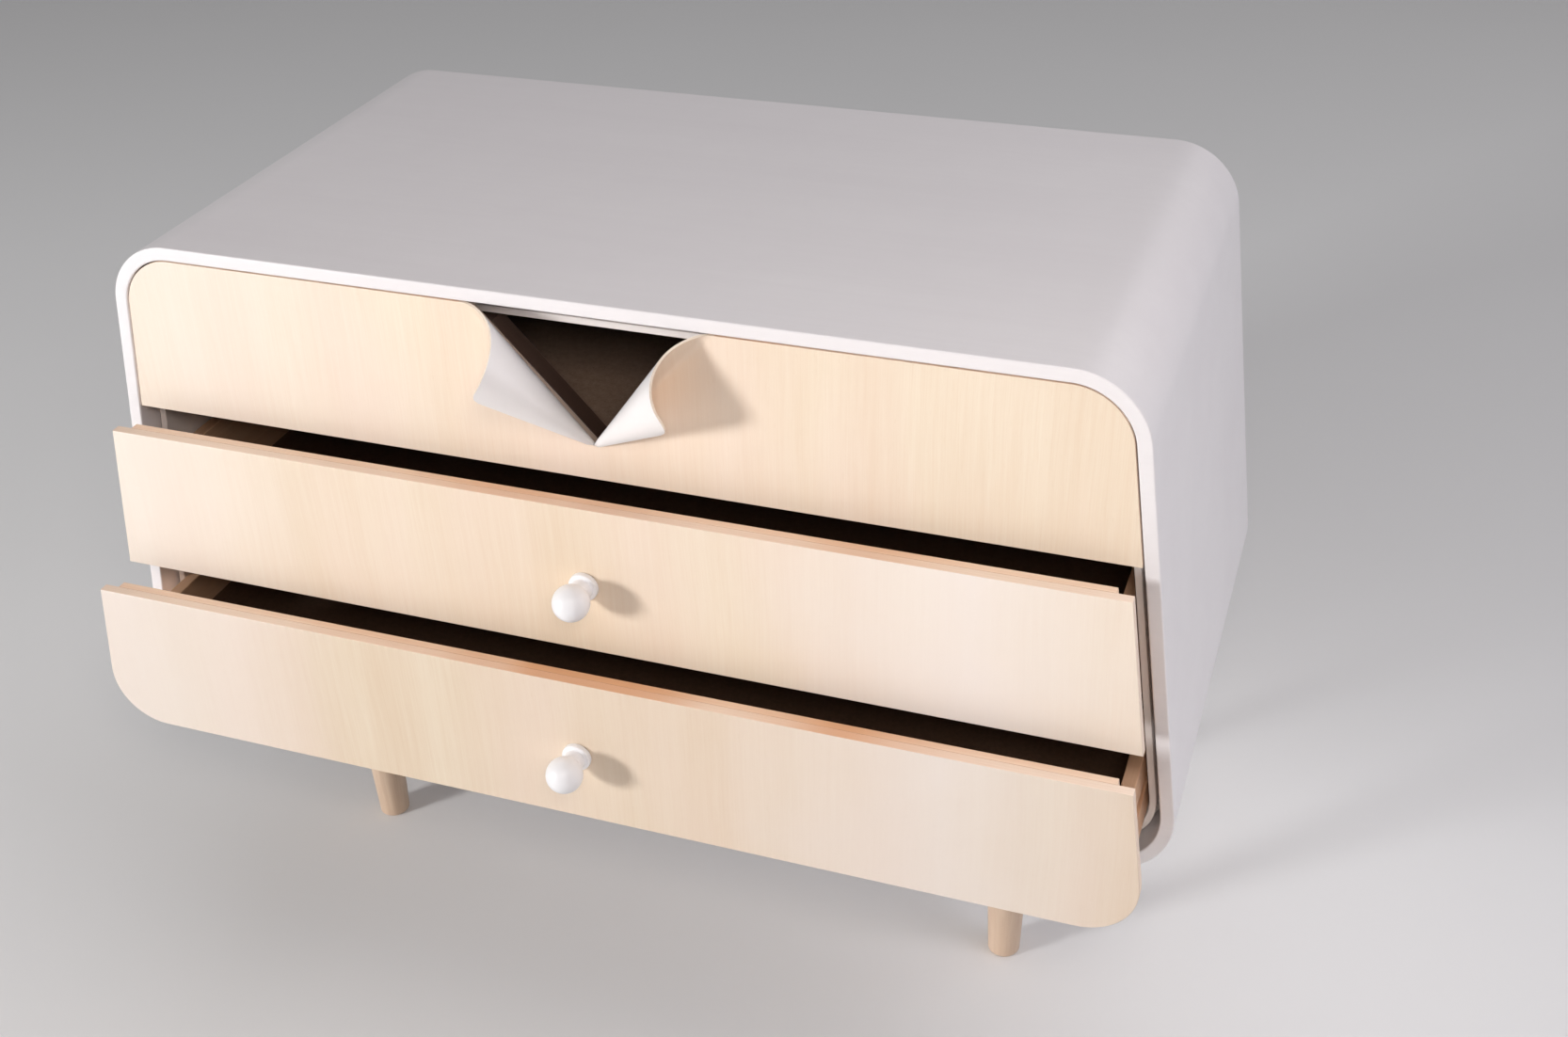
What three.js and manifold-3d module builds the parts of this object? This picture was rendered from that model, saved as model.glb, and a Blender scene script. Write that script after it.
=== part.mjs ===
import * as THREE from 'three';
import { mergeVertices } from 'three/addons/utils/BufferGeometryUtils.js';
import Module from 'manifold-3d';

// Commode chest with a flared bent-ply body, three drawers and a top front peeled open in a V.
// Lengths are millimetres. X runs to the right, Y to the rear and Z up from the floor.

const wasm = await Module();
wasm.setup();

// Body shell
const bodyHeight = 471;
const bodyDepth = 475;
const bodyMidWidth = 950;
const flareAngle = THREE.MathUtils.degToRad(7.5);
const bodyCornerShare = 0.134819533;
const shellThickness = 12;
const shellArris = 1.5;

// Inner sleeve, packed off the shell and set back behind its rim
const sleeveThickness = 6;
const sleeveSlot = 6;
const sleeveTopSlot = 11;
const sleeveSetback = 19;
const sleeveArris = 0.8;
const spacerDepth = 20;
const spacerSetback = 24;

// Back panel
const backThickness = 6;
const backSetback = 3;
const backClearance = 1;

// Legs and their fixings
const legHeight = 230;
const legTopRadius = 24;
const legFootRadius = 15.4;
const legFootRound = 3;
const legInsetFront = 108;
const legSpacing = 678;
const studRadius = 4;
const studDepthInLeg = 35;
const studStandAbove = 3.5;
const teeNutFlangeRadius = 11;
const teeNutFlangeThickness = 1.5;
const teeNutWall = 1.5;

// Drawer fronts
const frontRecess = 1;
const frontEdgeGap = 1.4;
const frontGap = 2.5;
const frontThickness = 9;
const frontArris = 0.8;
const frontHeightShares = { top: 1485, middle: 1430, bottom: 1477 };
const backingThickness = 8;
const topBackingThickness = 20;
const backingClearance = 3;

// Peeled V of the top front
const peelLayer = 2;
const peelTipRise = 32.5;
const peelHalfAngle = THREE.MathUtils.degToRad(42);
const peelRoot = 11;
const peelBite = 2.5;
const peelFoldSweep = THREE.MathUtils.degToRad(3);
const leftCurl = {
  side: -1,
  lift: THREE.MathUtils.degToRad(35.4),
  cone: THREE.MathUtils.degToRad(16.9),
  cornerRadius: 7,
};
const rightCurl = {
  side: 1,
  lift: THREE.MathUtils.degToRad(46.4),
  cone: THREE.MathUtils.degToRad(14.3),
  cornerRadius: 18,
};

// Drawer boxes
const boardThickness = 12;
const boxRearClearance = 26;
const boxTopDropShare = 0.110403397;
const boxLift = 4;
const boxBackDrop = 8;
const boxSideClearance = 3;
const bottomPanelThickness = 5;
const bottomPanelRecess = 8;
const bottomPanelHousing = 5;

// Wooden runners in grooves of the drawer sides
const runnerHeight = 11;
const runnerSetback = 20;
const runnerEndGap = 10;
const grooveDepth = 6;
const grooveClearance = 0.5;

// Knobs
const knobBallRadius = 16;
const knobProjection = 43;
const knobDrop = 3.5;
const knobCollarRadius = 13;
const knobCollarThickness = 5;
const knobNeckRadius = 9.5;
const knobArris = 1.2;
const knobBoreDepth = 16;
const knobScrewRadius = 2;
const knobScrewHeadRadius = 4.5;
const knobScrewHeadHeight = 3;

// How far each drawer stands open
const middlePull = 43.6;
const bottomPull = 88.2;

// Fits and overruns shared by every piece
const fitGap = 0.3;
const cutOverrun = 1;

// Facet counts
const arcSegments = 14;
const legSegments = 24;
const knobSegments = 28;
const knobRings = 12;
const boreSegments = 12;
const foldSteps = 4;
const curlSteps = 18;
const curlRings = 3;

// Heights are measured from half way up the body, depths from the plane of its front rim.
const halfHeight = bodyHeight / 2;
const bodyCornerRadius = bodyHeight * bodyCornerShare;
const innerTop = halfHeight - shellThickness;
const innerRadius = bodyCornerRadius - shellThickness;
const sleeveOuterInset = shellThickness + sleeveSlot;
const sleeveInnerInset = sleeveOuterInset + sleeveThickness;
const sleeveRear = bodyDepth - backSetback - backThickness - fitGap;
const boxRear = bodyDepth - backSetback - backThickness - boxRearClearance;
const boxOuterInset = sleeveInnerInset + boxSideClearance;
const boxInnerInset = boxOuterInset + boardThickness;
const frontTop = innerTop - frontEdgeGap;
const frontRadius = innerRadius - frontEdgeGap;
const frontSpace = 2 * frontTop - 2 * frontGap;
const frontShareSum = frontHeightShares.top + frontHeightShares.middle + frontHeightShares.bottom;
const topFrontHeight = (frontSpace * frontHeightShares.top) / frontShareSum;
const middleFrontHeight = (frontSpace * frontHeightShares.middle) / frontShareSum;
const peelDepth = topFrontHeight - peelTipRise;
const peelTipZ = frontTop - peelDepth;
const boxTopDrop = bodyHeight * boxTopDropShare;

// Half the width of the flared side at height z, measured in from the shell's outer face.
function sideX(z, inset) {
  return bodyMidWidth / 2 - z * Math.tan(flareAngle) - inset / Math.cos(flareAngle);
}

// Points of one rounded corner, or its single sharp point when the radius is zero.
function cornerArc(centreZ, sideInset, radius, from, to) {
  const centreX = sideX(centreZ, sideInset + radius);
  const steps = radius > 0 ? arcSegments : 0;
  return Array.from({ length: steps + 1 }, (_, i) => {
    const angle = THREE.MathUtils.lerp(from, to, steps > 0 ? i / steps : 0);
    return new THREE.Vector2(centreX + radius * Math.cos(angle), centreZ + radius * Math.sin(angle));
  });
}

// Outline of the flared body or of a board that fits it. The notch runs along the top edge, right to left.
function flaredOutline({ top, bottom, sideInset, topRadius = 0, bottomRadius = 0, notch = [] }) {
  const right = [
    ...cornerArc(bottom + bottomRadius, sideInset, bottomRadius, -Math.PI / 2, flareAngle),
    ...cornerArc(top - topRadius, sideInset, topRadius, flareAngle, Math.PI / 2),
  ];
  const left = right.map((p) => new THREE.Vector2(-p.x, p.y)).reverse();
  return [...right, ...notch, ...left];
}

function circleOutline(x, z, radius) {
  return Array.from({ length: boreSegments }, (_, i) => {
    const angle = (i / boreSegments) * 2 * Math.PI;
    return new THREE.Vector2(x + radius * Math.cos(angle), z + radius * Math.sin(angle));
  });
}

// Board or tube with the given outline in X and Z, from the front depth to the rear depth.
function extrudeBoard(outline, front, rear, { holes = [], arris = 0 } = {}) {
  const shape = new THREE.Shape(outline);
  shape.holes = holes.map((points) => new THREE.Path(points));
  const geometry = new THREE.ExtrudeGeometry(shape, {
    depth: rear - front - 2 * arris,
    bevelEnabled: arris > 0,
    bevelThickness: arris,
    bevelSize: arris,
    bevelOffset: -arris,
    bevelSegments: 2,
  });
  geometry.rotateX(Math.PI / 2);
  geometry.translate(0, rear - arris, 0);
  return geometry;
}

// Turned solid about a vertical axis, from a profile of [radius, height] pairs that ends on the axis.
function turn(profile, segments) {
  return new THREE.LatheGeometry(profile.map(([r, h]) => new THREE.Vector2(r, h)), segments);
}

function toManifold(geometry) {
  const bare = geometry.clone();
  bare.deleteAttribute('normal');
  bare.deleteAttribute('uv');
  const merged = mergeVertices(bare);
  const vertProperties = new Float32Array(merged.attributes.position.array);
  const triVerts = new Uint32Array(merged.index.array);
  return new wasm.Manifold(new wasm.Mesh({ numProp: 3, vertProperties, triVerts }));
}

function fromManifold(solid) {
  const mesh = solid.getMesh();
  const geometry = new THREE.BufferGeometry();
  geometry.setAttribute('position', new THREE.BufferAttribute(new Float32Array(mesh.vertProperties), 3));
  geometry.setIndex(new THREE.BufferAttribute(new Uint32Array(mesh.triVerts), 1));
  geometry.computeVertexNormals();
  return geometry;
}

const finishes = {
  whiteLacquer: { color: 0xe9e7e6, roughness: 0.35, metalness: 0 },
  sleevePaint: { color: 0xe2dfdc, roughness: 0.5, metalness: 0 },
  birchVeneer: { color: 0xf0dcc2, roughness: 0.5, metalness: 0 },
  darkStain: { color: 0x2a1f1b, roughness: 0.6, metalness: 0 },
  beechPly: { color: 0xdcb899, roughness: 0.6, metalness: 0 },
  hardboard: { color: 0x8a6a4c, roughness: 0.8, metalness: 0 },
  turnedBeech: { color: 0xd9bd9f, roughness: 0.5, metalness: 0 },
  glossWhite: { color: 0xf4f1ee, roughness: 0.15, metalness: 0 },
  steel: { color: 0xa7a9ac, roughness: 0.35, metalness: 1 },
};

function addPiece(group, name, geometry, finish) {
  const mesh = new THREE.Mesh(geometry, new THREE.MeshStandardMaterial(finishes[finish]));
  mesh.name = name;
  group.add(mesh);
  return mesh;
}

// Outer shell: a bent-ply sleeve with round corners, open at the front and the rear
const shellOuter = {
  top: halfHeight,
  bottom: -halfHeight,
  sideInset: 0,
  topRadius: bodyCornerRadius,
  bottomRadius: bodyCornerRadius,
};
const shellInner = {
  top: innerTop,
  bottom: -innerTop,
  sideInset: shellThickness,
  topRadius: innerRadius,
  bottomRadius: innerRadius,
};
const legPlaces = [
  { name: 'front_left', x: -legSpacing / 2, y: legInsetFront },
  { name: 'front_right', x: legSpacing / 2, y: legInsetFront },
  { name: 'rear_left', x: -legSpacing / 2, y: bodyDepth - legInsetFront },
  { name: 'rear_right', x: legSpacing / 2, y: bodyDepth - legInsetFront },
];
const teeNutBarrelRadius = studRadius + fitGap + teeNutWall;

function outerShell() {
  const tube = extrudeBoard(flaredOutline(shellOuter), 0, bodyDepth, {
    holes: [flaredOutline(shellInner)],
    arris: shellArris,
  });
  const boreHeight = shellThickness + 2 * cutOverrun;
  const bores = legPlaces.map(({ x, y }) => {
    const bore = new THREE.CylinderGeometry(
      teeNutBarrelRadius + fitGap,
      teeNutBarrelRadius + fitGap,
      boreHeight,
      boreSegments,
    );
    bore.rotateX(Math.PI / 2);
    bore.translate(x, y, -halfHeight + shellThickness / 2);
    return toManifold(bore);
  });
  return fromManifold(bores.reduce((solid, bore) => solid.subtract(bore), toManifold(tube)));
}

// Inner sleeve and the two spacer frames that hold it off the shell
const sleeveOuter = {
  top: innerTop - sleeveTopSlot,
  bottom: -innerTop + sleeveSlot,
  sideInset: sleeveOuterInset,
  topRadius: innerRadius - sleeveSlot,
  bottomRadius: innerRadius - sleeveSlot,
};
const sleeveInner = insetOutline(sleeveOuter, sleeveThickness);

// The same flared outline with every edge moved in by a distance, or out when it is negative.
function insetOutline(outline, distance) {
  return {
    top: outline.top - distance,
    bottom: outline.bottom + distance,
    sideInset: outline.sideInset + distance,
    topRadius: outline.topRadius - distance,
    bottomRadius: outline.bottomRadius - distance,
  };
}

function innerSleeve() {
  return extrudeBoard(flaredOutline(sleeveOuter), sleeveSetback, sleeveRear, {
    holes: [flaredOutline(sleeveInner)],
    arris: sleeveArris,
  });
}

function spacerFrame(front) {
  return extrudeBoard(flaredOutline(insetOutline(shellInner, fitGap)), front, front + spacerDepth, {
    holes: [flaredOutline(insetOutline(sleeveOuter, -fitGap))],
  });
}

function backPanel() {
  const rear = bodyDepth - backSetback;
  return extrudeBoard(flaredOutline(insetOutline(shellInner, backClearance)), rear - backThickness, rear);
}

// Turned leg with a blind bore for its stud, standing on the floor
function leg() {
  const roundSteps = 4;
  const foot = Array.from({ length: roundSteps + 1 }, (_, i) => {
    const angle = (i / roundSteps) * (Math.PI / 2);
    return [
      legFootRadius - legFootRound * (1 - Math.sin(angle)),
      legFootRound * (1 - Math.cos(angle)),
    ];
  });
  const boreRadius = studRadius + fitGap;
  const boreFloor = legHeight - studDepthInLeg - fitGap;
  return turn(
    [[0, 0], ...foot, [legTopRadius, legHeight], [boreRadius, legHeight], [boreRadius, boreFloor], [0, boreFloor]],
    legSegments,
  );
}

function legStud() {
  const length = studDepthInLeg + shellThickness + studStandAbove;
  const stud = new THREE.CylinderGeometry(studRadius, studRadius, length, boreSegments);
  stud.rotateX(Math.PI / 2);
  stud.translate(0, 0, legHeight - studDepthInLeg + length / 2);
  return stud;
}

// Flanged nut pressed into the shell's floor from inside
function teeNut() {
  const bore = studRadius + fitGap;
  const seat = shellThickness + fitGap;
  const profile = [
    [bore, fitGap],
    [teeNutBarrelRadius, fitGap],
    [teeNutBarrelRadius, seat],
    [teeNutFlangeRadius, seat],
    [teeNutFlangeRadius, seat + teeNutFlangeThickness],
    [bore, seat + teeNutFlangeThickness],
    [bore, fitGap],
  ];
  const nut = turn(profile, legSegments);
  nut.rotateX(Math.PI / 2);
  nut.translate(0, 0, legHeight);
  return nut;
}

// Where a leaf's bend starts on the flat layer, as an angle from the slit. The bend straddles the V's edge.
function creaseAngle({ lift }) {
  return peelHalfAngle + (peelFoldSweep / lift) * Math.tan(lift / 2);
}

// Carries a straight ruling and its surface normal round a cone that touches the surface along the ruling.
function rollRound({ ruling, normal }, side, cone, sweep) {
  const axis = ruling.clone().multiplyScalar(Math.cos(cone)).addScaledVector(normal, Math.sin(cone));
  const turned = (side * sweep) / Math.sin(cone);
  return { ruling: ruling.clone().applyAxisAngle(axis, turned), normal: normal.clone().applyAxisAngle(axis, turned) };
}

// How far a ruling runs from the tip to the leaf's top edge or to its rounded corner at the slit
function rulingLength(fromSlit, cornerRadius) {
  const straight = peelDepth / Math.cos(fromSlit);
  if (Math.tan(fromSlit) >= cornerRadius / peelDepth) return straight;
  const rise = peelDepth - cornerRadius;
  const along = cornerRadius * Math.sin(fromSlit) + rise * Math.cos(fromSlit);
  return along + Math.sqrt(Math.max(0, along ** 2 - rise ** 2));
}

// One curled leaf of the peeled layer. Its straight rulings all meet at the tip of the V. It bends up from
// the layer round a narrow cone, by the lift angle, and then rolls on round a wide one as far as the slit.
function curledLeaf({ side, lift, cone, cornerRadius }) {
  const tip = new THREE.Vector3(0, frontRecess, peelTipZ);
  const flatAngle = creaseAngle({ lift });
  const flat = {
    ruling: new THREE.Vector3(side * Math.sin(flatAngle), 0, Math.cos(flatAngle)),
    normal: new THREE.Vector3(0, -1, 0),
  };
  const outward = new THREE.Vector3(side * Math.cos(flatAngle), 0, -Math.sin(flatAngle));
  const foldCone = Math.atan(peelFoldSweep / lift);
  const lifted = rollRound(flat, side, foldCone, peelFoldSweep);

  const fullLength = rulingLength(flatAngle, cornerRadius);
  const rows = [{ ...flat, shift: outward.multiplyScalar(peelBite), length: fullLength, skins: rootSkinShares }];
  const addRow = (at, swept) => {
    const length = rulingLength(flatAngle - swept, cornerRadius);
    rows.push({ ...at, shift: new THREE.Vector3(), length, skins: leafSkinShares });
  };
  for (let i = 0; i < foldSteps; i += 1) {
    const swept = (i / foldSteps) * peelFoldSweep;
    addRow(rollRound(flat, side, foldCone, swept), swept);
  }
  for (let i = 0; i <= curlSteps; i += 1) {
    const rolled = (flatAngle - peelFoldSweep) * (1 - (1 - i / curlSteps) ** 1.5);
    addRow(rollRound(lifted, side, cone, rolled), peelFoldSweep + rolled);
  }

  const positions = [];
  for (const skin of [0, 1]) {
    for (const row of rows) {
      for (let j = 0; j <= curlRings; j += 1) {
        const along = THREE.MathUtils.lerp(peelRoot, row.length, j / curlRings);
        const point = tip.clone().add(row.shift).addScaledVector(row.ruling, along);
        point.addScaledVector(row.normal, -row.skins[skin] * peelLayer);
        positions.push(point.x, point.y, point.z);
      }
    }
  }
  return gridSolid(positions, rows.length, curlRings + 1, side > 0);
}

// Where the two skins of the leaf lie, as shares of the layer's thickness: buried at the root, full beyond it.
const rootSkinShares = [0.25, 0.75];
const leafSkinShares = [0, 1];

// Closes two stacked grids of points into one solid.
function gridSolid(positions, rowCount, columnCount, flipped) {
  const layer = rowCount * columnCount;
  const at = (skin, row, column) => skin * layer + row * columnCount + column;
  const index = [];
  const quad = (a, b, c, d) => {
    const corners = flipped ? [a, c, b, a, d, c] : [a, b, c, a, c, d];
    index.push(...corners);
  };
  for (let i = 0; i < rowCount - 1; i += 1) {
    for (let j = 0; j < columnCount - 1; j += 1) {
      quad(at(0, i, j), at(0, i + 1, j), at(0, i + 1, j + 1), at(0, i, j + 1));
      quad(at(1, i, j), at(1, i, j + 1), at(1, i + 1, j + 1), at(1, i + 1, j));
    }
    const last = columnCount - 1;
    quad(at(0, i, 0), at(1, i, 0), at(1, i + 1, 0), at(0, i + 1, 0));
    quad(at(0, i, last), at(0, i + 1, last), at(1, i + 1, last), at(1, i, last));
  }
  for (let j = 0; j < columnCount - 1; j += 1) {
    const last = rowCount - 1;
    quad(at(0, 0, j), at(0, 0, j + 1), at(1, 0, j + 1), at(1, 0, j));
    quad(at(0, last, j), at(1, last, j), at(1, last, j + 1), at(0, last, j + 1));
  }
  const geometry = new THREE.BufferGeometry();
  geometry.setAttribute('position', new THREE.Float32BufferAttribute(positions, 3));
  geometry.setIndex(index);
  geometry.setAttribute('normal', new THREE.Float32BufferAttribute(new Float32Array(positions.length), 3));
  geometry.setAttribute('uv', new THREE.Float32BufferAttribute(new Float32Array((positions.length / 3) * 2), 2));
  return geometry;
}

// The V cut, from the right end of a top edge to its left end
function peelNotch(top, rightAngle = peelHalfAngle, leftAngle = peelHalfAngle) {
  const height = top - peelTipZ;
  return [
    new THREE.Vector2(height * Math.tan(rightAngle), top),
    new THREE.Vector2(0, peelTipZ),
    new THREE.Vector2(-height * Math.tan(leftAngle), top),
  ];
}

// The three drawers: their fronts, their backing boards and the heights of their boxes
const topFront = {
  top: frontTop,
  bottom: frontTop - topFrontHeight,
  sideInset: shellThickness + frontEdgeGap,
  topRadius: frontRadius,
};
const middleFront = {
  top: topFront.bottom - frontGap,
  bottom: topFront.bottom - frontGap - middleFrontHeight,
  sideInset: shellThickness + frontEdgeGap,
};
const bottomFront = {
  top: middleFront.bottom - frontGap,
  bottom: -frontTop,
  sideInset: shellThickness + frontEdgeGap,
  bottomRadius: frontRadius,
};
const backingRadius = sleeveInner.topRadius - backingClearance;

// Height above the sleeve's floor at which a drawer side clears the sleeve's round corner
const cornerSpan = sleeveInner.bottomRadius - boxSideClearance;
const cornerChord = Math.sqrt(sleeveInner.bottomRadius ** 2 - cornerSpan ** 2);
const cornerRise =
  sleeveInner.bottomRadius + cornerSpan * Math.sin(flareAngle) - cornerChord * Math.cos(flareAngle);

const drawers = [
  {
    name: 'top',
    front: topFront,
    backing: { ...topFront, top: sleeveInner.top - backingClearance, sideInset: boxOuterInset, topRadius: backingRadius },
    backingThickness: topBackingThickness,
    boxBottom: topFront.bottom + boxLift,
    pull: 0,
    peeled: true,
  },
  {
    name: 'middle',
    front: middleFront,
    backing: { ...middleFront, sideInset: boxOuterInset },
    backingThickness,
    boxBottom: middleFront.bottom + boxLift,
    pull: middlePull,
    peeled: false,
  },
  {
    name: 'bottom',
    front: bottomFront,
    backing: {
      ...bottomFront,
      bottom: sleeveInner.bottom + backingClearance,
      sideInset: boxOuterInset,
      bottomRadius: backingRadius,
    },
    backingThickness,
    boxBottom: sleeveInner.bottom + cornerRise + backingClearance,
    pull: bottomPull,
    peeled: false,
  },
];

function boxHeights({ front, boxBottom }) {
  const top = front.top - boxTopDrop;
  return { top, bottom: boxBottom, grooveZ: (top + boxBottom) / 2 };
}

function mirrorAcross(points, side) {
  return points.map(([x, z]) => new THREE.Vector2(side * x, z));
}

// Drawer side, leaning with the body, with the runner's groove outside and the bottom's housing inside
function drawerSide(drawer, side, front) {
  const { top, bottom, grooveZ } = boxHeights(drawer);
  const grooveTop = grooveZ + runnerHeight / 2 + grooveClearance;
  const grooveBottom = grooveZ - runnerHeight / 2 - grooveClearance;
  const housingBottom = bottom + bottomPanelRecess - fitGap;
  const housingTop = bottom + bottomPanelRecess + bottomPanelThickness + fitGap;
  const onOuter = (z, depth = 0) => [sideX(z, boxOuterInset + depth), z];
  const onInner = (z, depth = 0) => [sideX(z, boxInnerInset - depth), z];
  const section = [
    onOuter(bottom),
    onOuter(grooveBottom),
    onOuter(grooveBottom, grooveDepth),
    onOuter(grooveTop, grooveDepth),
    onOuter(grooveTop),
    onOuter(top),
    onInner(top),
    onInner(housingTop),
    onInner(housingTop, bottomPanelHousing),
    onInner(housingBottom, bottomPanelHousing),
    onInner(housingBottom),
    onInner(bottom),
  ];
  return extrudeBoard(mirrorAcross(section, side), front, boxRear);
}

function drawerBottom(drawer, front) {
  const floor = boxHeights(drawer).bottom + bottomPanelRecess;
  const ceiling = floor + bottomPanelThickness;
  const reach = sideX(ceiling, boxInnerInset - bottomPanelHousing) - fitGap;
  const section = [[reach, floor], [reach, ceiling], [-reach, ceiling], [-reach, floor]];
  return extrudeBoard(mirrorAcross(section, 1), front, boxRear);
}

function drawerBack(drawer) {
  const { top, bottom } = boxHeights(drawer);
  const outline = {
    top: top - boxBackDrop,
    bottom: bottom + bottomPanelRecess + bottomPanelThickness + fitGap,
    sideInset: boxInnerInset + fitGap,
  };
  return extrudeBoard(flaredOutline(outline), boxRear - boardThickness, boxRear);
}

// Runner strip on the sleeve's side wall, reaching into the groove of the drawer side
function runner(drawer, side) {
  const { grooveZ } = boxHeights(drawer);
  const top = grooveZ + runnerHeight / 2;
  const bottom = grooveZ - runnerHeight / 2;
  const wall = sleeveInnerInset + fitGap;
  const nose = boxOuterInset + grooveDepth - grooveClearance;
  const section = [
    [sideX(bottom, nose), bottom],
    [sideX(bottom, wall), bottom],
    [sideX(top, wall), top],
    [sideX(top, nose), top],
  ];
  return extrudeBoard(mirrorAcross(section, side), sleeveSetback + runnerSetback, sleeveRear - runnerEndGap);
}

// Ball knob on a short neck and collar, with a blind bore for its screw
function knob() {
  const ballCentre = knobProjection - knobBallRadius;
  const neckJoin = Math.asin(knobNeckRadius / knobBallRadius);
  const ball = Array.from({ length: knobRings + 1 }, (_, i) => {
    const angle = THREE.MathUtils.lerp(neckJoin, Math.PI, i / knobRings);
    const radius = i === knobRings ? 0 : knobBallRadius * Math.sin(angle);
    return [radius, ballCentre - knobBallRadius * Math.cos(angle)];
  });
  const bore = knobScrewRadius + fitGap;
  const profile = [
    [0, knobBoreDepth],
    [bore, knobBoreDepth],
    [bore, 0],
    [knobCollarRadius, 0],
    [knobCollarRadius, knobCollarThickness - knobArris],
    [knobCollarRadius - knobArris, knobCollarThickness],
    [knobNeckRadius + knobArris, knobCollarThickness],
    [knobNeckRadius, knobCollarThickness + knobArris],
    ...ball,
  ];
  const solid = turn(profile, knobSegments);
  solid.rotateX(Math.PI);
  return solid;
}

// Round-head screw through both layers of the front, its head behind the backing board
function knobScrew() {
  const buried = frontThickness + fitGap + backingThickness;
  const tip = knobBoreDepth - fitGap;
  const head = buried + fitGap;
  const profile = [
    [0, -tip],
    [knobScrewRadius, -tip],
    [knobScrewRadius, head],
    [knobScrewHeadRadius, head],
    [knobScrewHeadRadius, head + knobScrewHeadHeight / 2],
    [knobScrewHeadRadius / 2, head + knobScrewHeadHeight],
    [0, head + knobScrewHeadHeight],
  ];
  return turn(profile, boreSegments);
}

function addDrawer(group, drawer) {
  const { name, front, backing, peeled } = drawer;
  const frontBack = frontRecess + frontThickness;
  const backingFront = frontBack + fitGap;
  const boxFront = backingFront + drawer.backingThickness + fitGap;
  const knobZ = (front.top + front.bottom) / 2 - knobDrop;
  const knobHole = circleOutline(0, knobZ, knobScrewRadius + fitGap);
  const holes = peeled ? [] : [knobHole];
  const add = (piece, geometry, finish) => addPiece(group, `drawer_${name}_${piece}`, geometry, finish);

  if (peeled) {
    const layerBack = frontRecess + peelLayer;
    const faceNotch = peelNotch(front.top, creaseAngle(rightCurl), creaseAngle(leftCurl));
    const layer = toManifold(extrudeBoard(flaredOutline({ ...front, notch: faceNotch }), frontRecess, layerBack));
    const leaves = [leftCurl, rightCurl].map((curl) => toManifold(curledLeaf(curl)));
    add('peeled_face', fromManifold(leaves.reduce((all, leaf) => all.add(leaf), layer)), 'birchVeneer');
    const coreOutline = flaredOutline({ ...front, notch: peelNotch(front.top) });
    add('front_core', extrudeBoard(coreOutline, layerBack + fitGap, frontBack), 'beechPly');
  } else {
    add('front', extrudeBoard(flaredOutline(front), frontRecess, frontBack, { holes, arris: frontArris }), 'birchVeneer');
    const knobMesh = add('knob', knob(), 'glossWhite');
    knobMesh.position.set(0, frontRecess - fitGap, knobZ);
    const screw = add('knob_screw', knobScrew(), 'steel');
    screw.position.set(0, frontRecess, knobZ);
  }
  const backingOutline = flaredOutline({ ...backing, notch: peeled ? peelNotch(backing.top) : [] });
  const backingRear = backingFront + drawer.backingThickness;
  add('backing', extrudeBoard(backingOutline, backingFront, backingRear, { holes }), peeled ? 'darkStain' : 'beechPly');
  add('side_left', drawerSide(drawer, -1, boxFront), 'beechPly');
  add('side_right', drawerSide(drawer, 1, boxFront), 'beechPly');
  add('back', drawerBack(drawer), 'beechPly');
  add('bottom', drawerBottom(drawer, boxFront), 'hardboard');
}

// The whole chest, with its origin on the floor under the middle of everything that stands on it
const chest = new THREE.Group();
const frontReach = bottomPull - frontRecess + fitGap + knobProjection;
chest.position.set(0, (frontReach - bodyDepth) / 2, 0);

const body = new THREE.Group();
body.position.set(0, 0, legHeight + halfHeight);
chest.add(body);
addPiece(body, 'outer_shell', outerShell(), 'whiteLacquer');
addPiece(body, 'inner_sleeve', innerSleeve(), 'sleevePaint');
addPiece(body, 'spacer_frame_front', spacerFrame(sleeveSetback + spacerSetback), 'beechPly');
addPiece(body, 'spacer_frame_rear', spacerFrame(sleeveRear - spacerDepth), 'beechPly');
addPiece(body, 'back_panel', backPanel(), 'hardboard');
for (const drawer of drawers) {
  addPiece(body, `runner_${drawer.name}_left`, runner(drawer, -1), 'beechPly');
  addPiece(body, `runner_${drawer.name}_right`, runner(drawer, 1), 'beechPly');
}

for (const { name, x, y } of legPlaces) {
  const upright = leg();
  upright.rotateX(Math.PI / 2);
  addPiece(chest, `leg_${name}`, upright, 'turnedBeech').position.set(x, y, 0);
  addPiece(chest, `leg_stud_${name}`, legStud(), 'steel').position.set(x, y, 0);
  addPiece(chest, `tee_nut_${name}`, teeNut(), 'steel').position.set(x, y, 0);
}

for (const drawer of drawers) {
  const slide = new THREE.Group();
  slide.position.set(0, -drawer.pull, 0);
  body.add(slide);
  addDrawer(slide, drawer);
}

export default chest;
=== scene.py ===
"""Commode chest: a flared, round-cornered body with sliding drawers and a top front that peels open in a V.

Every piece stands in the part's own frame: metres, X to the right, Y to the rear, Z up from the floor.
"""

import logging
import math
from dataclasses import dataclass, replace
from enum import Enum
from typing import Callable, List, Optional, Sequence, Tuple

import bmesh
import bpy
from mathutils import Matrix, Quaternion, Vector

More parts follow.
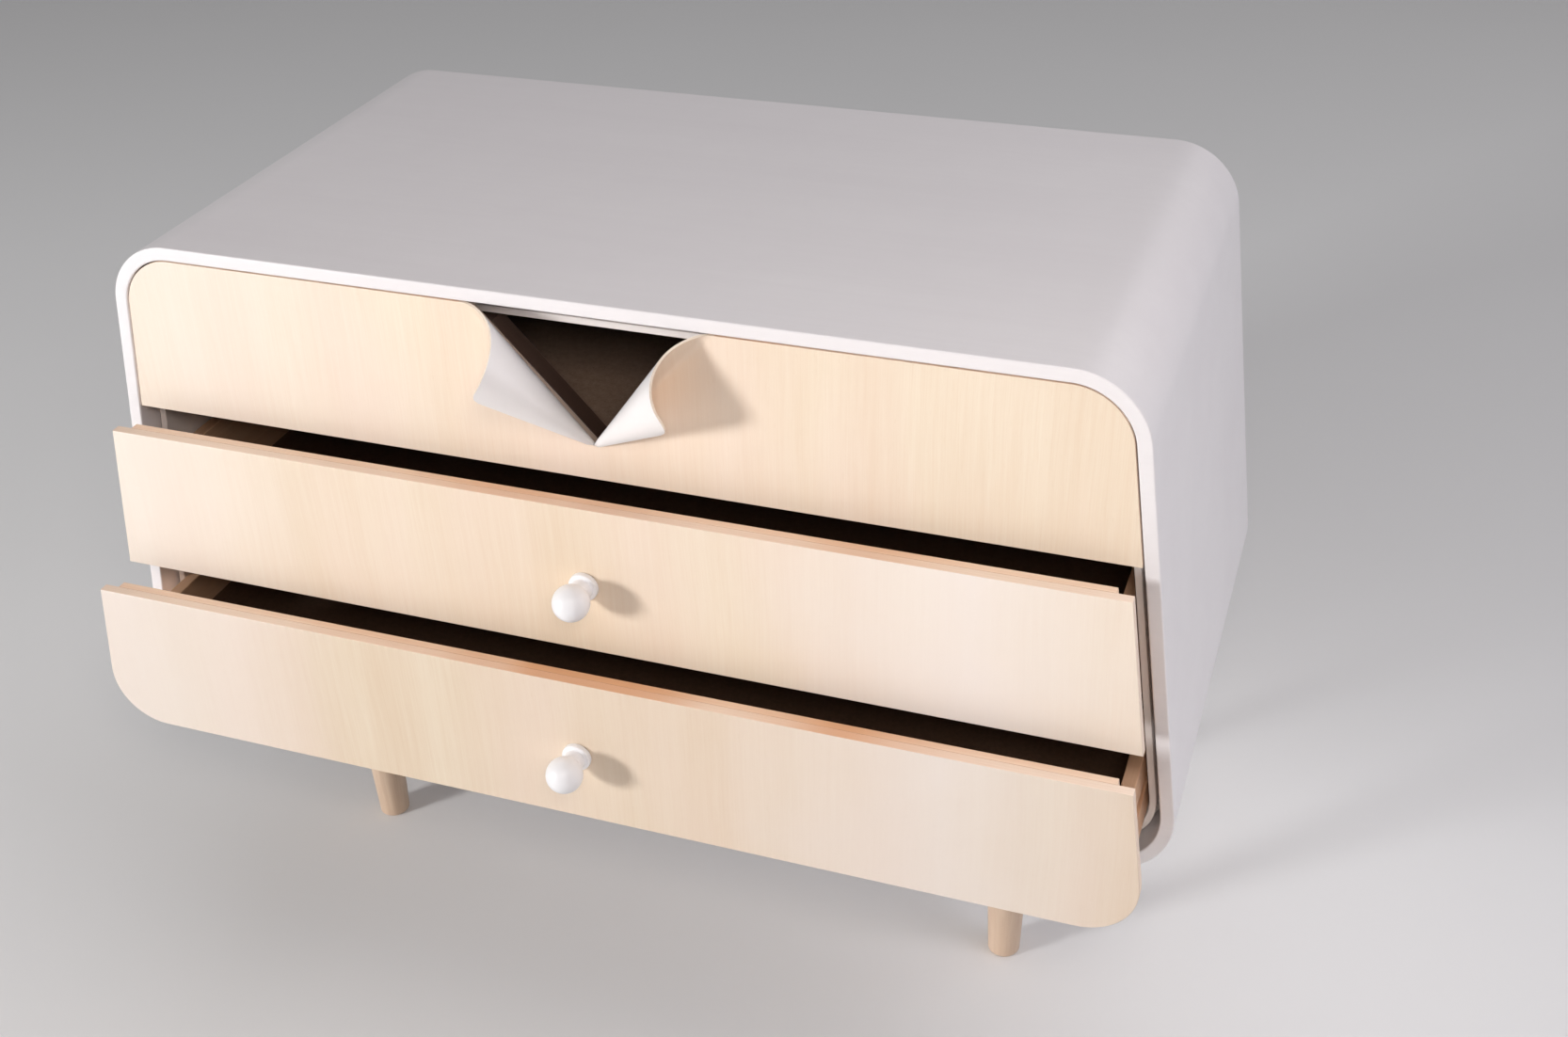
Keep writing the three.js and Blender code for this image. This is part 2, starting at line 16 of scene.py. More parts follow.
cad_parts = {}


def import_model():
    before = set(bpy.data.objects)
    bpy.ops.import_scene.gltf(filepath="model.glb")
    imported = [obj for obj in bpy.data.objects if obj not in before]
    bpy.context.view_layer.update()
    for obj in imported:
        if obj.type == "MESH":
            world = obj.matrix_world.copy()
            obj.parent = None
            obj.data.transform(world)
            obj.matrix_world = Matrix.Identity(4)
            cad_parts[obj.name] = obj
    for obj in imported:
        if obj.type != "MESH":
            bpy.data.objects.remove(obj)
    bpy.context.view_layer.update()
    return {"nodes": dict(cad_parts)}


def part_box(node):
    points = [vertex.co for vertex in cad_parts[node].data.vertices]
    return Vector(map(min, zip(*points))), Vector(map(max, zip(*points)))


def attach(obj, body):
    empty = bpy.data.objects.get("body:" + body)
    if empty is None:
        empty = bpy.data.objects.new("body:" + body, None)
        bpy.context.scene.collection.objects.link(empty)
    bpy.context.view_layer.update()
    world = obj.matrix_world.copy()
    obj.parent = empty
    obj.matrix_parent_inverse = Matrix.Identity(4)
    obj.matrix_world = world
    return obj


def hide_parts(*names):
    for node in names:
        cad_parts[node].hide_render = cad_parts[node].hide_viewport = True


LOG = logging.getLogger("commode")

Triple = Tuple[float, float, float]
Colour = Triple
Outline = List[Tuple[float, float]]
Piece = bpy.types.Object
Socket = bpy.types.NodeSocket
Test = Callable[[object], bool]
Chooser = Callable[[Vector, Vector], int]
Rows = List[Tuple[Vector, float]]

CORNER_STEPS = 18
SMOOTH_ANGLE = math.radians(35)
SHARP_ANGLE = math.radians(50)
FLAT_ANGLE = math.radians(0.5)
SAME_POINT = 1e-6
SAME_LEVEL = 1e-5
LOOKS_ALONG = 0.9
LOOKS_MOSTLY_ALONG = 0.5
PATH_SEED = 0.01
HANDS = (("left", -1), ("right", 1))


# Sizes that several pieces share


@dataclass(frozen=True)
class BodyPlan:
    """Sizes of the flared body that every other piece is fitted to."""

    rim_y: float
    mid_z: float
    height: float = 0.471
    depth: float = 0.475
    mid_width: float = 0.950
    flare: float = math.radians(7.5)
    corner: float = 0.0635
    wall: float = 0.012
    slot: float = 0.006
    top_slot: float = 0.011
    sleeve_wall: float = 0.006
    sleeve_setback: float = 0.019
    back_thickness: float = 0.006
    back_setback: float = 0.003
    box_clearance: float = 0.003
    box_rear_clearance: float = 0.026

    def half_width(self, z: float, inset: float) -> float:
        """Half the body's width at height z, less an inset measured square to the side."""
        return self.mid_width / 2 - (z - self.mid_z) * math.tan(self.flare) - inset / math.cos(self.flare)

    @property
    def inner_top(self) -> float:
        """Height of the shell's inner surface under the top."""
        return self.mid_z + self.height / 2 - self.wall

    @property
    def inner_bottom(self) -> float:
        """Height of the shell's inner surface over the bottom."""
        return self.mid_z - self.height / 2 + self.wall

    @property
    def backing_top(self) -> float:
        """Height of a backing board that clears the sleeve under the top."""
        return self.inner_top - self.top_slot - self.sleeve_wall - self.box_clearance

    @property
    def backing_bottom(self) -> float:
        """Height of a backing board that clears the sleeve over the bottom."""
        return self.inner_bottom + self.slot + self.sleeve_wall + self.box_clearance

    @property
    def sleeve_inset(self) -> float:
        """How far the sleeve's inner surface lies inside the shell's outer one."""
        return self.wall + self.slot + self.sleeve_wall

    @property
    def box_inset(self) -> float:
        """How far a drawer side's outer face lies inside the shell's outer surface."""
        return self.sleeve_inset + self.box_clearance

    @property
    def backing_radius(self) -> float:
        """Corner radius of a backing board that clears the sleeve's corners."""
        return self.corner - self.sleeve_inset - self.box_clearance

    @property
    def box_rear(self) -> float:
        """Depth of a closed drawer box's rear end behind the rim."""
        return self.depth - self.back_setback - self.back_thickness - self.box_rear_clearance


@dataclass(frozen=True)
class FrontPlan:
    """Levels of the three fronts, which share the height between the rims."""

    plan: BodyPlan
    edge_gap: float = 0.0014
    gap: float = 0.0025
    top_height: float = 0.1485
    middle_height: float = 0.143
    box_rise: float = 0.004

    @property
    def radius(self) -> float:
        """Corner radius of the top front and of the bottom one."""
        return self.plan.corner - self.plan.wall - self.edge_gap

    @property
    def top(self) -> Tuple[float, float]:
        """The top front's upper and lower edge."""
        edge = self.plan.inner_top - self.edge_gap
        return edge, edge - self.top_height

    @property
    def middle(self) -> Tuple[float, float]:
        """The middle front's upper and lower edge."""
        edge = self.top[1] - self.gap
        return edge, edge - self.middle_height

    @property
    def bottom(self) -> Tuple[float, float]:
        """The bottom front's upper and lower edge."""
        return self.middle[1] - self.gap, self.plan.inner_bottom + self.edge_gap


@dataclass(frozen=True)
class Flared:
    """A board's or a tube's outline, leaning with the body, and its two depths."""

    top: float
    bottom: float
    inset: float
    front: float
    rear: float
    top_radius: float = 0.0
    bottom_radius: float = 0.0

    def shrunk(self, distance: float) -> "Flared":
        """The same outline with every edge moved in.

        Args:
            distance: how far each edge moves.

        Returns:
            The smaller outline, with tighter corners and the same depths.
        """
        return replace(
            self,
            top=self.top - distance,
            bottom=self.bottom + distance,
            inset=self.inset + distance,
            top_radius=self.top_radius - distance,
            bottom_radius=self.bottom_radius - distance,
        )


@dataclass(frozen=True)
class Notch:
    """A V cut down from a board's top edge, as its tip and its two half angles."""

    tip: Vector
    left: float
    right: float

    def holds(self, point: Vector, margin: float = 0.0) -> bool:
        """True if a point lies between the V's two edges, or nearer to them than a margin."""
        rise = point.z - self.tip.z + margin
        return -rise * math.tan(self.left) - margin < point.x < rise * math.tan(self.right) + margin


# Modelling with the editor's own operators


class Element(Enum):
    """What a pick selects."""

    VERT = "VERT"
    EDGE = "EDGE"
    FACE = "FACE"


def deselect() -> None:
    """Leaves edit mode and selects nothing."""
    if bpy.context.object is not None and bpy.context.object.mode != "OBJECT":
        bpy.ops.object.mode_set(mode="OBJECT")
    bpy.ops.object.select_all(action="DESELECT")


def activate(obj: Piece) -> None:
    """Makes one object the only selected and active one.

    Args:
        obj: the object.
    """
    deselect()
    obj.select_set(True)
    bpy.context.view_layer.objects.active = obj


class Edit:
    """Edit mode on one mesh, with its elements picked by a test on their place."""

    def __init__(self, obj: Piece) -> None:
        """Keeps the object to edit."""
        self.obj = obj

    def __enter__(self) -> "Edit":
        """Enters edit mode on the object alone.

        Returns:
            This editor.
        """
        activate(self.obj)
        bpy.ops.object.mode_set(mode="EDIT")
        return self

    def __exit__(self, *_: object) -> None:
        """Goes back to object mode."""
        bpy.ops.object.mode_set(mode="OBJECT")

    def all(self) -> None:
        """Selects the whole mesh."""
        bpy.ops.mesh.select_all(action="SELECT")

    def pick(self, kind: Element, test: Test) -> int:
        """Selects the elements that pass a test and nothing else.

        Args:
            kind: whether vertices, edges or faces are tested.
            test: takes a bmesh element and says whether it is wanted.

        Returns:
            How many elements were selected.
        """
        bpy.ops.mesh.select_mode(type=kind.value)
        bpy.ops.mesh.select_all(action="DESELECT")
        mesh = bmesh.from_edit_mesh(self.obj.data)
        items = {Element.VERT: mesh.verts, Element.EDGE: mesh.edges, Element.FACE: mesh.faces}[kind]
        wanted = [item for item in items if test(item)]
        for item in wanted:
            item.select_set(True)
        mesh.select_flush_mode()
        bmesh.update_edit_mesh(self.obj.data)
        return len(wanted)

    def extrude(self, offset: Sequence[float]) -> None:
        """Extrudes what is selected by an offset."""
        bpy.ops.mesh.extrude_region_move(TRANSFORM_OT_translate={"value": tuple(offset)})

    def merge(self) -> None:
        """Merges the vertices that share a place."""
        self.all()
        bpy.ops.mesh.remove_doubles(threshold=SAME_POINT)

    def face_out(self) -> None:
        """Turns every face of a closed mesh outwards."""
        self.all()
        bpy.ops.mesh.normals_make_consistent(inside=False)

    def arris(self, width: float, keep: Test, segments: int) -> None:
        """Rounds sharp edges.

        Args:
            width: how far the rounding reaches from the edge.
            keep: takes a sharp edge and says whether it is rounded.
            segments: how many faces the rounding has.
        """

        def sharp(edge: object) -> bool:
            """True for a sharp edge that is to be rounded."""
            return len(edge.link_faces) == 2 and edge.calc_face_angle(0.0) > SHARP_ANGLE and keep(edge)

        if self.pick(Element.EDGE, sharp):
            bpy.ops.mesh.bevel(offset=width, offset_type="OFFSET", segments=segments, affect="EDGES", profile=0.5)


def anywhere(_: object) -> bool:
    """Keeps every edge."""
    return True


def before(depth: float) -> Test:
    """A test for edges that lie at a depth or in front of it."""
    return lambda edge: max(vert.co.y for vert in edge.verts) < depth + SAME_LEVEL


def behind(depth: float) -> Test:
    """A test for edges that lie at a depth or behind it."""
    return lambda edge: min(vert.co.y for vert in edge.verts) > depth - SAME_LEVEL


def above(level: float) -> Test:
    """A test for edges that lie at a height or over it."""
    return lambda edge: min(vert.co.z for vert in edge.verts) > level - SAME_LEVEL


def edge_middle(edge: object) -> Vector:
    """The middle of a bmesh edge."""
    return (edge.verts[0].co + edge.verts[1].co) / 2


def apply_modifier(obj: Piece, kind: str, **settings: object) -> None:
    """Adds a modifier and applies it.

    Args:
        obj: the piece.
        kind: the modifier's type name.
        settings: the modifier's own properties.
    """
    activate(obj)
    modifier = obj.modifiers.new(kind.title(), kind)
    for key, value in settings.items():
        setattr(modifier, key, value)
    bpy.ops.object.modifier_apply(modifier=modifier.name)


def shade(obj: Piece) -> None:
    """Shades a piece smooth between its sharp edges."""
    activate(obj)
    bpy.ops.object.shade_smooth_by_angle(angle=SMOOTH_ANGLE)


def polish(obj: Piece) -> None:
    """Shades a piece smooth between its sharp edges, with its flats kept flat."""
    shade(obj)
    apply_modifier(obj, "WEIGHTED_NORMAL", mode="FACE_AREA", weight=80, keep_sharp=True)


def ease(obj: Piece, width: float, keep: Test = anywhere, segments: int = 3) -> None:
    """Rounds a piece's sharp edges and polishes it.

    Args:
        obj: the piece.
        width: how far the rounding reaches from each edge.
        keep: takes a sharp edge and says whether it is rounded.
        segments: how many faces the rounding has.
    """
    with Edit(obj) as edit:
        edit.arris(width, keep, segments)
    polish(obj)


def settle(obj: Piece) -> None:
    """Moves the object's place, turn and scale into its mesh."""
    activate(obj)
    bpy.ops.object.transform_apply(location=True, rotation=True, scale=True)


def rename(obj: Piece, name: str) -> Piece:
    """Names an object and its mesh, and hands the object back."""
    obj.name = obj.data.name = name
    return obj


def panel(name: str, plan: BodyPlan, cut: Flared, notch: Optional[Notch] = None) -> Piece:
    """Cuts a board with leaning sides, round corners and, if asked, a V in its top edge.

    Args:
        name: the piece's name.
        plan: the body that the board's sides lean with.
        cut: the outline and the two depths.
        notch: the V, or None.

    Returns:
        The board, a closed solid with sharp edges.
    """
    deselect()
    top_half = plan.half_width(cut.top, cut.inset)
    bottom_half = plan.half_width(cut.bottom, cut.inset)
    middle = (cut.top + cut.bottom) / 2
    bpy.ops.mesh.primitive_plane_add(size=1.0, location=(0.0, cut.front, middle), rotation=(math.pi / 2, 0.0, 0.0))
    board = rename(bpy.context.object, name)
    board.scale = (2 * top_half, cut.top - cut.bottom, 1.0)
    settle(board)
    with Edit(board) as edit:
        edit.pick(Element.VERT, lambda v: v.co.z < middle)
        bpy.ops.transform.resize(value=(bottom_half / top_half, 1.0, 1.0), center_override=(0.0, 0.0, 0.0))
        corners = (
            (cut.top_radius, cut.top, math.pi / 2 + plan.flare),
            (cut.bottom_radius, cut.bottom, math.pi / 2 - plan.flare),
        )
        for radius, level, angle in corners:
            if radius > 0:
                edit.pick(Element.VERT, lambda v, z=level: abs(v.co.z - z) < SAME_POINT)
                bpy.ops.mesh.bevel(
                    offset=radius / math.tan(angle / 2),
                    offset_type="OFFSET",
                    segments=CORNER_STEPS,
                    affect="VERTICES",
                    profile=0.5,
                )
        if notch is not None:
            for normal in (
                (math.cos(notch.right), 0.0, -math.sin(notch.right)),
                (math.cos(notch.left), 0.0, math.sin(notch.left)),
            ):
                edit.all()
                bpy.ops.mesh.bisect(plane_co=notch.tip, plane_no=normal)
            edit.pick(Element.FACE, lambda f: notch.holds(f.calc_center_median()))
            bpy.ops.mesh.delete(type="FACE")
            edit.all()
            bpy.ops.mesh.dissolve_limited(angle_limit=FLAT_ANGLE)
        edit.all()
        edit.extrude((0.0, cut.rear - cut.front, 0.0))
        edit.face_out()
    return board


def tube(name: str, plan: BodyPlan, cut: Flared, wall: float, arris: float) -> Piece:
    """Bends a sleeve of one wall thickness to a flared outline, open at the front and the rear.

    Args:
        name: the piece's name.
        plan: the body that the sleeve's sides lean with.
        cut: the outer outline and the two depths.
        wall: the wall's thickness.
        arris: how far the rims are rounded.

    Returns:
        The sleeve, polished.
    """
    sleeve = panel(name, plan, cut)
    with Edit(sleeve) as edit:
        edit.pick(Element.FACE, lambda f: abs(f.normal.y) > LOOKS_ALONG)
        bpy.ops.mesh.delete(type="ONLY_FACE")
    apply_modifier(sleeve, "SOLIDIFY", thickness=wall, offset=-1.0, use_even_offset=True, use_quality_normals=True)
    ease(sleeve, arris)
    return sleeve


def draw_path(name: str, points: Sequence[Vector]) -> Piece:
    """Draws an open line of edges by extruding one vertex from point to point.

    Args:
        name: the line's name.
        points: the points, in order.

    Returns:
        The line.
    """
    deselect()
    bpy.ops.mesh.primitive_plane_add(size=PATH_SEED, location=(0.0, 0.0, 0.0))
    line = rename(bpy.context.object, name)
    start = line.data.vertices[0].co.copy()
    with Edit(line) as edit:
        edit.pick(Element.VERT, lambda v: v.index != 0)
        bpy.ops.mesh.delete(type="VERT")
        edit.all()
        bpy.ops.transform.translate(value=points[0] - start)
        for here, there in zip(points, points[1:]):
            edit.extrude(there - here)
    return line


def strip(name: str, section: Outline, front: float, rear: float) -> Piece:
    """Runs a section, drawn in X and Z, through from one depth to another.

    Args:
        name: the piece's name.
        section: the section's corners, in order.
        front: the depth of the front end.
        rear: the depth of the rear end.

    Returns:
        The strip, a closed solid with sharp edges.
    """
    board = draw_path(name, [Vector((x, front, z)) for x, z in section])
    with Edit(board) as edit:
        edit.all()
        bpy.ops.mesh.edge_face_add()
        edit.extrude((0.0, rear - front, 0.0))
        edit.face_out()
    return board


def turned(name: str, profile: Outline, steps: int) -> Piece:
    """Spins a profile about the vertical axis through the origin.

    Args:
        name: the piece's name.
        profile: pairs of radius and height, from axis to axis.
        steps: how many faces go round.

    Returns:
        The turned piece, a closed solid.
    """
    piece = draw_path(name, [Vector((radius, 0.0, height)) for radius, height in profile])
    with Edit(piece) as edit:
        edit.all()
        bpy.ops.mesh.spin(steps=steps, angle=2 * math.pi, center=(0.0, 0.0, 0.0), axis=(0.0, 0.0, 1.0))
        edit.merge()
        edit.face_out()
    return piece


def stand(obj: Piece, place: Sequence[float], turn: Sequence[float] = (0.0, 0.0, 0.0)) -> None:
    """Turns a piece made at the origin and sets it in its place for good.

    Args:
        obj: the piece.
        place: where its origin goes.
        turn: its turns about X, Y and Z in radians.
    """
    obj.rotation_euler = turn
    obj.location = place
    settle(obj)


def copy_at(source: Piece, places: Sequence[Vector], name: str) -> Piece:
    """Copies a small piece to several places, each with its own mesh, and joins the copies.

    Args:
        source: the piece, modelled at the origin; it is used up.
        places: where the copies go.
        name: the joined piece's name.

    Returns:
        The joined piece.
    """
    copies = []
    for place in places:
        activate(source)
        bpy.ops.object.duplicate(linked=False)
        bpy.ops.transform.translate(value=place)
        copies.append(bpy.context.object)
    bpy.data.objects.remove(source)
    joined = rename(join(copies), name)
    settle(joined)
    return joined


def join(pieces: Sequence[Piece]) -> Piece:
    """Joins pieces into the first of them.

    Args:
        pieces: the pieces, of which only the first is left.

    Returns:
        The first piece.
    """
    activate(pieces[0])
    for piece in pieces:
        piece.select_set(True)
    bpy.ops.object.join()
    return bpy.context.object


def arc(centre: Tuple[float, float], radius: float, start: float, end: float, steps: int) -> Outline:
    """Points of an arc in the plane of a profile.

    Args:
        centre: the arc's centre, as radius and height.
        radius: the arc's own radius.
        start: the first point's angle in radians.
        end: the last point's angle in radians.
        steps: how many chords the arc has.

    Returns:
        The points, both ends among them.
    """
    angles = [start + (end - start) * i / steps for i in range(steps + 1)]
    return [(centre[0] + radius * math.cos(angle), centre[1] + radius * math.sin(angle)) for angle in angles]


# Finishes


def linear(value: float) -> float:
    """A screen value of 0 to 255 as the linear value that shaders take."""
    share = value / 255
    return share / 12.92 if share <= 0.04045 else ((share + 0.055) / 1.055) ** 2.4


def srgb(red: float, green: float, blue: float) -> Colour:
    """A colour given in screen values, made linear."""
    return linear(red), linear(green), linear(blue)


class Graph:
    """Adds nodes to a node tree and links them."""

    def __init__(self, tree: bpy.types.NodeTree) -> None:
        """Keeps the tree."""
        self.tree = tree

    def feed(self, value: object, socket: Socket) -> None:
        """Links an output to an input, or sets the input to a value.

        Args:
            value: an output socket or a plain value; a colour may leave out its opacity.
            socket: the input.
        """
        if isinstance(value, Socket):
            self.tree.links.new(value, socket)
        elif socket.type == "RGBA" and len(value) == 3:
            socket.default_value = (*value, 1.0)
        else:
            socket.default_value = value

    def add(self, kind: str, inputs: Optional[dict] = None, **settings: object) -> bpy.types.Node:
        """Adds a node, sets its properties and sets or links its inputs.

        Args:
            kind: the node's type name.
            inputs: a value or an output socket for each input, by name or number.
            settings: the node's own properties.

        Returns:
            The new node.
        """
        node = self.tree.nodes.new(kind)
        for key, value in settings.items():
            setattr(node, key, value)
        for key, value in (inputs or {}).items():
            self.feed(value, node.inputs[key])
        return node

    def use(self, tree: bpy.types.NodeTree, **inputs: object) -> object:
        """Places a group with its own values, their names with underscores for spaces, and gives its outputs."""
        values = {key.replace("_", " "): value for key, value in inputs.items()}
        return self.add("ShaderNodeGroup", node_tree=tree, inputs=values).outputs

    def maths(self, operation: str, *values: object, clamp: bool = False) -> Socket:
        """A Math node's output."""
        return self.add("ShaderNodeMath", dict(enumerate(values)), operation=operation, use_clamp=clamp).outputs[0]

    def around(self, share: Socket, middle: float, spread: float) -> Socket:
        """A share from 0 to 1 as a value that ranges about a middle."""
        return self.maths("MULTIPLY_ADD", share, spread, middle - spread / 2)

    def remap(self, value: object, low: float, high: float, to_low: float = 0.0, to_high: float = 1.0) -> Socket:
        """A value moved from one range to another, clamped."""
        return self.add("ShaderNodeMapRange", {0: value, 1: low, 2: high, 3: to_low, 4: to_high}).outputs[0]

    def scaled(self, vector: Socket, factors: Triple) -> Socket:
        """A vector with each part multiplied by its own factor."""
        return self.add("ShaderNodeVectorMath", {0: vector, 1: factors}, operation="MULTIPLY").outputs[0]

    def drawn_out(self, vector: Socket, share: float) -> Socket:
        """Coordinates that draw a pattern out along Z, the more the smaller the share."""
        return self.scaled(vector, (1.0, 1.0, share))

    def noise(self, vector: object, scale: object, detail: float = 2.0, roughness: float = 0.5) -> Socket:
        """A noise texture's value."""
        inputs = {"Vector": vector, "Scale": scale, "Detail": detail, "Roughness": roughness}
        return self.add("ShaderNodeTexNoise", inputs).outputs[0]

    def blend(self, share: object, first: object, second: object) -> Socket:
        """Two colours mixed by a share."""
        return self.add("ShaderNodeMix", data_type="RGBA", inputs={0: share, 6: first, 7: second}).outputs[2]

    def place(self) -> Socket:
        """The place on the object, in metres."""
        return self.add("ShaderNodeTexCoord").outputs["Object"]

    def given(self) -> object:
        """What a group is given, by name."""
        return self.tree.nodes["in"].outputs

    def give(self, **outputs: Socket) -> bpy.types.NodeTree:
        """Puts out a group's values.

        Args:
            outputs: the value of each output, by name.

        Returns:
            The group.
        """
        for name, value in outputs.items():
            self.feed(value, self.tree.nodes["out"].inputs[name])
        return self.tree


def new_group(name: str, inputs: Sequence[Tuple[str, str, object]], outputs: Sequence[Tuple[str, str]]) -> Graph:
    """Makes an empty shader node group with named sockets.

    Args:
        name: the group's name.
        inputs: name, socket type and default value of each input.
        outputs: name and socket type of each output.

    Returns:
        The group's graph, with its input and output nodes named "in" and "out".
    """
    tree = bpy.data.node_groups.new(name, "ShaderNodeTree")
    for label, kind, value in inputs:
        socket = tree.interface.new_socket(label, in_out="INPUT", socket_type=kind)
        if value is not None:
            socket.default_value = value
    for label, kind in outputs:
        tree.interface.new_socket(label, in_out="OUTPUT", socket_type=kind)
    graph = Graph(tree)
    graph.add("NodeGroupInput", name="in")
    graph.add("NodeGroupOutput", name="out")
    return graph


def build_grain_group() -> bpy.types.NodeTree:
    """Wood grain that runs along Z: broad bands, fine streaks, short pores and a soft blush.

    Returns:
        The group; its mask is 1 where the grain is deep.
    """
    graph = new_group(
        "WoodGrain",
        (
            ("Vector", "NodeSocketVector", None),
            ("Pale", "NodeSocketColor", (0.8, 0.7, 0.5, 1.0)),
            ("Deep", "NodeSocketColor", (0.6, 0.45, 0.3, 1.0)),
            ("Blush", "NodeSocketColor", (0.8, 0.6, 0.45, 1.0)),
            ("Band Scale", "NodeSocketFloat", 16.0),
            ("Streak Scale", "NodeSocketFloat", 180.0),
            ("Contrast", "NodeSocketFloat", 1.0),
        ),
        (("Colour", "NodeSocketColor"), ("Mask", "NodeSocketFloat"), ("Height", "NodeSocketFloat")),
    )
    given = graph.given()
    drift = graph.noise(given["Vector"], 5.0, 1.0)
    sway = graph.add("ShaderNodeCombineXYZ", {0: graph.maths("MULTIPLY", drift, 0.012)}).outputs[0]
    swayed = graph.add("ShaderNodeVectorMath", {0: given["Vector"], 1: sway}, operation="ADD").outputs[0]
    bands = graph.noise(graph.drawn_out(swayed, 0.10), given["Band Scale"], 2.0)
    streaks = graph.noise(graph.drawn_out(swayed, 0.03), given["Streak Scale"], 4.0, 0.65)
    fine_scale = graph.maths("MULTIPLY", given["Streak Scale"], 4.5)
    fine = graph.noise(graph.drawn_out(swayed, 0.02), fine_scale, 2.0)
    pores = graph.noise(graph.drawn_out(swayed, 0.09), fine_scale, 1.0)
    flecks = graph.remap(pores, 0.66, 0.76)
    tone = graph.around(bands, 0.0, 1.1)
    tone = graph.maths("ADD", tone, graph.around(streaks, 0.0, 0.8))
    tone = graph.maths("ADD", tone, graph.around(fine, 0.0, 0.5))
    mask = graph.maths("MULTIPLY_ADD", tone, given["Contrast"], 0.5, clamp=True)
    cloud = graph.remap(graph.noise(graph.drawn_out(swayed, 0.3), 5.0, 3.0), 0.4, 0.68, 0.0, 0.6)
    wood = graph.blend(cloud, graph.blend(mask, given["Pale"], given["Deep"]), given["Blush"])
    fleck_share = graph.maths("MULTIPLY", flecks, graph.maths("MULTIPLY", given["Contrast"], 0.22))
    relief = graph.maths("SUBTRACT", graph.maths("ADD", streaks, graph.maths("MULTIPLY", fine, 0.6)), flecks)
    return graph.give(Colour=graph.blend(fleck_share, wood, given["Deep"]), Mask=mask, Height=relief)


def build_handling_group() -> bpy.types.NodeTree:
    """What use leaves on a surface: soft cloudy patches, fine specks and a slight unevenness of the coat.

    Returns:
        The group.
    """
    graph = new_group(
        "Handling",
        (("Vector", "NodeSocketVector", None), ("Patch Scale", "NodeSocketFloat", 7.0)),
        (("Patches", "NodeSocketFloat"), ("Specks", "NodeSocketFloat"), ("Height", "NodeSocketFloat")),
    )
    given = graph.given()
    patches = graph.noise(given["Vector"], given["Patch Scale"], 4.0, 0.6)
    specks = graph.remap(graph.noise(given["Vector"], 620.0, 1.0), 0.74, 0.8)
    peel = graph.noise(given["Vector"], 310.0, 2.0)
    height = graph.maths("ADD", peel, graph.maths("MULTIPLY", patches, 0.5))
    return graph.give(Patches=graph.remap(patches, 0.3, 0.7), Specks=specks, Height=height)


def build_plies_group() -> bpy.types.NodeTree:
    """The layers of plywood seen on an edge: light and dark veneers with thin glue lines.

    Returns:
        The group; its layer is 0 and 1 by turns.
    """
    graph = new_group(
        "Plies",
        (("Depth", "NodeSocketFloat", 0.0), ("Ply", "NodeSocketFloat", 0.0015), ("Vector", "NodeSocketVector", None)),
        (("Layer", "NodeSocketFloat"), ("Glue", "NodeSocketFloat"), ("Height", "NodeSocketFloat")),
    )
    given = graph.given()
    waver = graph.around(graph.noise(given["Vector"], 30.0, 2.0), 0.0, 0.0006)
    count = graph.maths("DIVIDE", graph.maths("ADD", given["Depth"], waver), given["Ply"])
    layer = graph.maths("FLOOR", graph.maths("MODULO", graph.maths("ABSOLUTE", count), 2.0))
    ridge = graph.maths("PINGPONG", count, 0.5)
    glue = graph.remap(ridge, 0.0, 0.09, 1.0, 0.0)
    return graph.give(Layer=layer, Glue=glue, Height=graph.maths("MULTIPLY", ridge, -1.0))


class Grain(Enum):
    """Which way a piece's grain runs, as the turn that brings it upright."""

    UPRIGHT = (0.0, 0.0, 0.0)
    ACROSS = (0.0, math.pi / 2, 0.0)
    ALONG = (math.pi / 2, 0.0, 0.0)


class Follows(Enum):
    """What a pattern's coordinates follow."""

    PLACE = "Object"
    SHEET = "sheet"


@dataclass(frozen=True)
class Groups:
    """The node groups that the finishes share."""

    grain: bpy.types.NodeTree
    handling: bpy.types.NodeTree
    plies: bpy.types.NodeTree


def coordinates(
    graph: Graph, follows: Follows, grain: Grain = Grain.UPRIGHT, shift: Triple = (0.0, 0.0, 0.0)
) -> Socket:
    """The coordinates that a pattern reads.

    Args:
        graph: the material's nodes.
        follows: whether they follow the piece's place or the flat sheet it was rolled from.
        grain: which way the grain runs; it is brought upright.
        shift: how far the pattern is moved.

    Returns:
        The coordinates.
    """
    if follows is Follows.SHEET:
        source = graph.add("ShaderNodeAttribute", attribute_name=follows.value).outputs["Vector"]
    else:
        source = graph.place()
    inputs = {"Vector": source, "Location": shift, "Rotation": grain.value}
    return graph.add("ShaderNodeMapping", inputs).outputs[0]


@dataclass(frozen=True)
class Surface:
    """A Principled shader that is being wired, with the groups that it may use."""

    graph: Graph
    shader: bpy.types.Node
    groups: Groups

    def colour(self, tint: Socket, rough: object) -> None:
        """Feeds the colour and the roughness."""
        self.graph.feed(tint, self.shader.inputs["Base Color"])
        self.graph.feed(rough, self.shader.inputs["Roughness"])

    def coat(self, weight: float, roughness: float) -> None:
        """Sets the clear coat."""
        self.shader.inputs["Coat Weight"].default_value = weight
        self.shader.inputs["Coat Roughness"].default_value = roughness

    def bump(self, height: Socket, strength: float, distance: float) -> None:
        """Feeds a height through a Bump node into the normal."""
        bump = self.graph.add("ShaderNodeBump", {"Height": height, "Strength": strength, "Distance": distance})
        self.graph.feed(bump.outputs[0], self.shader.inputs["Normal"])


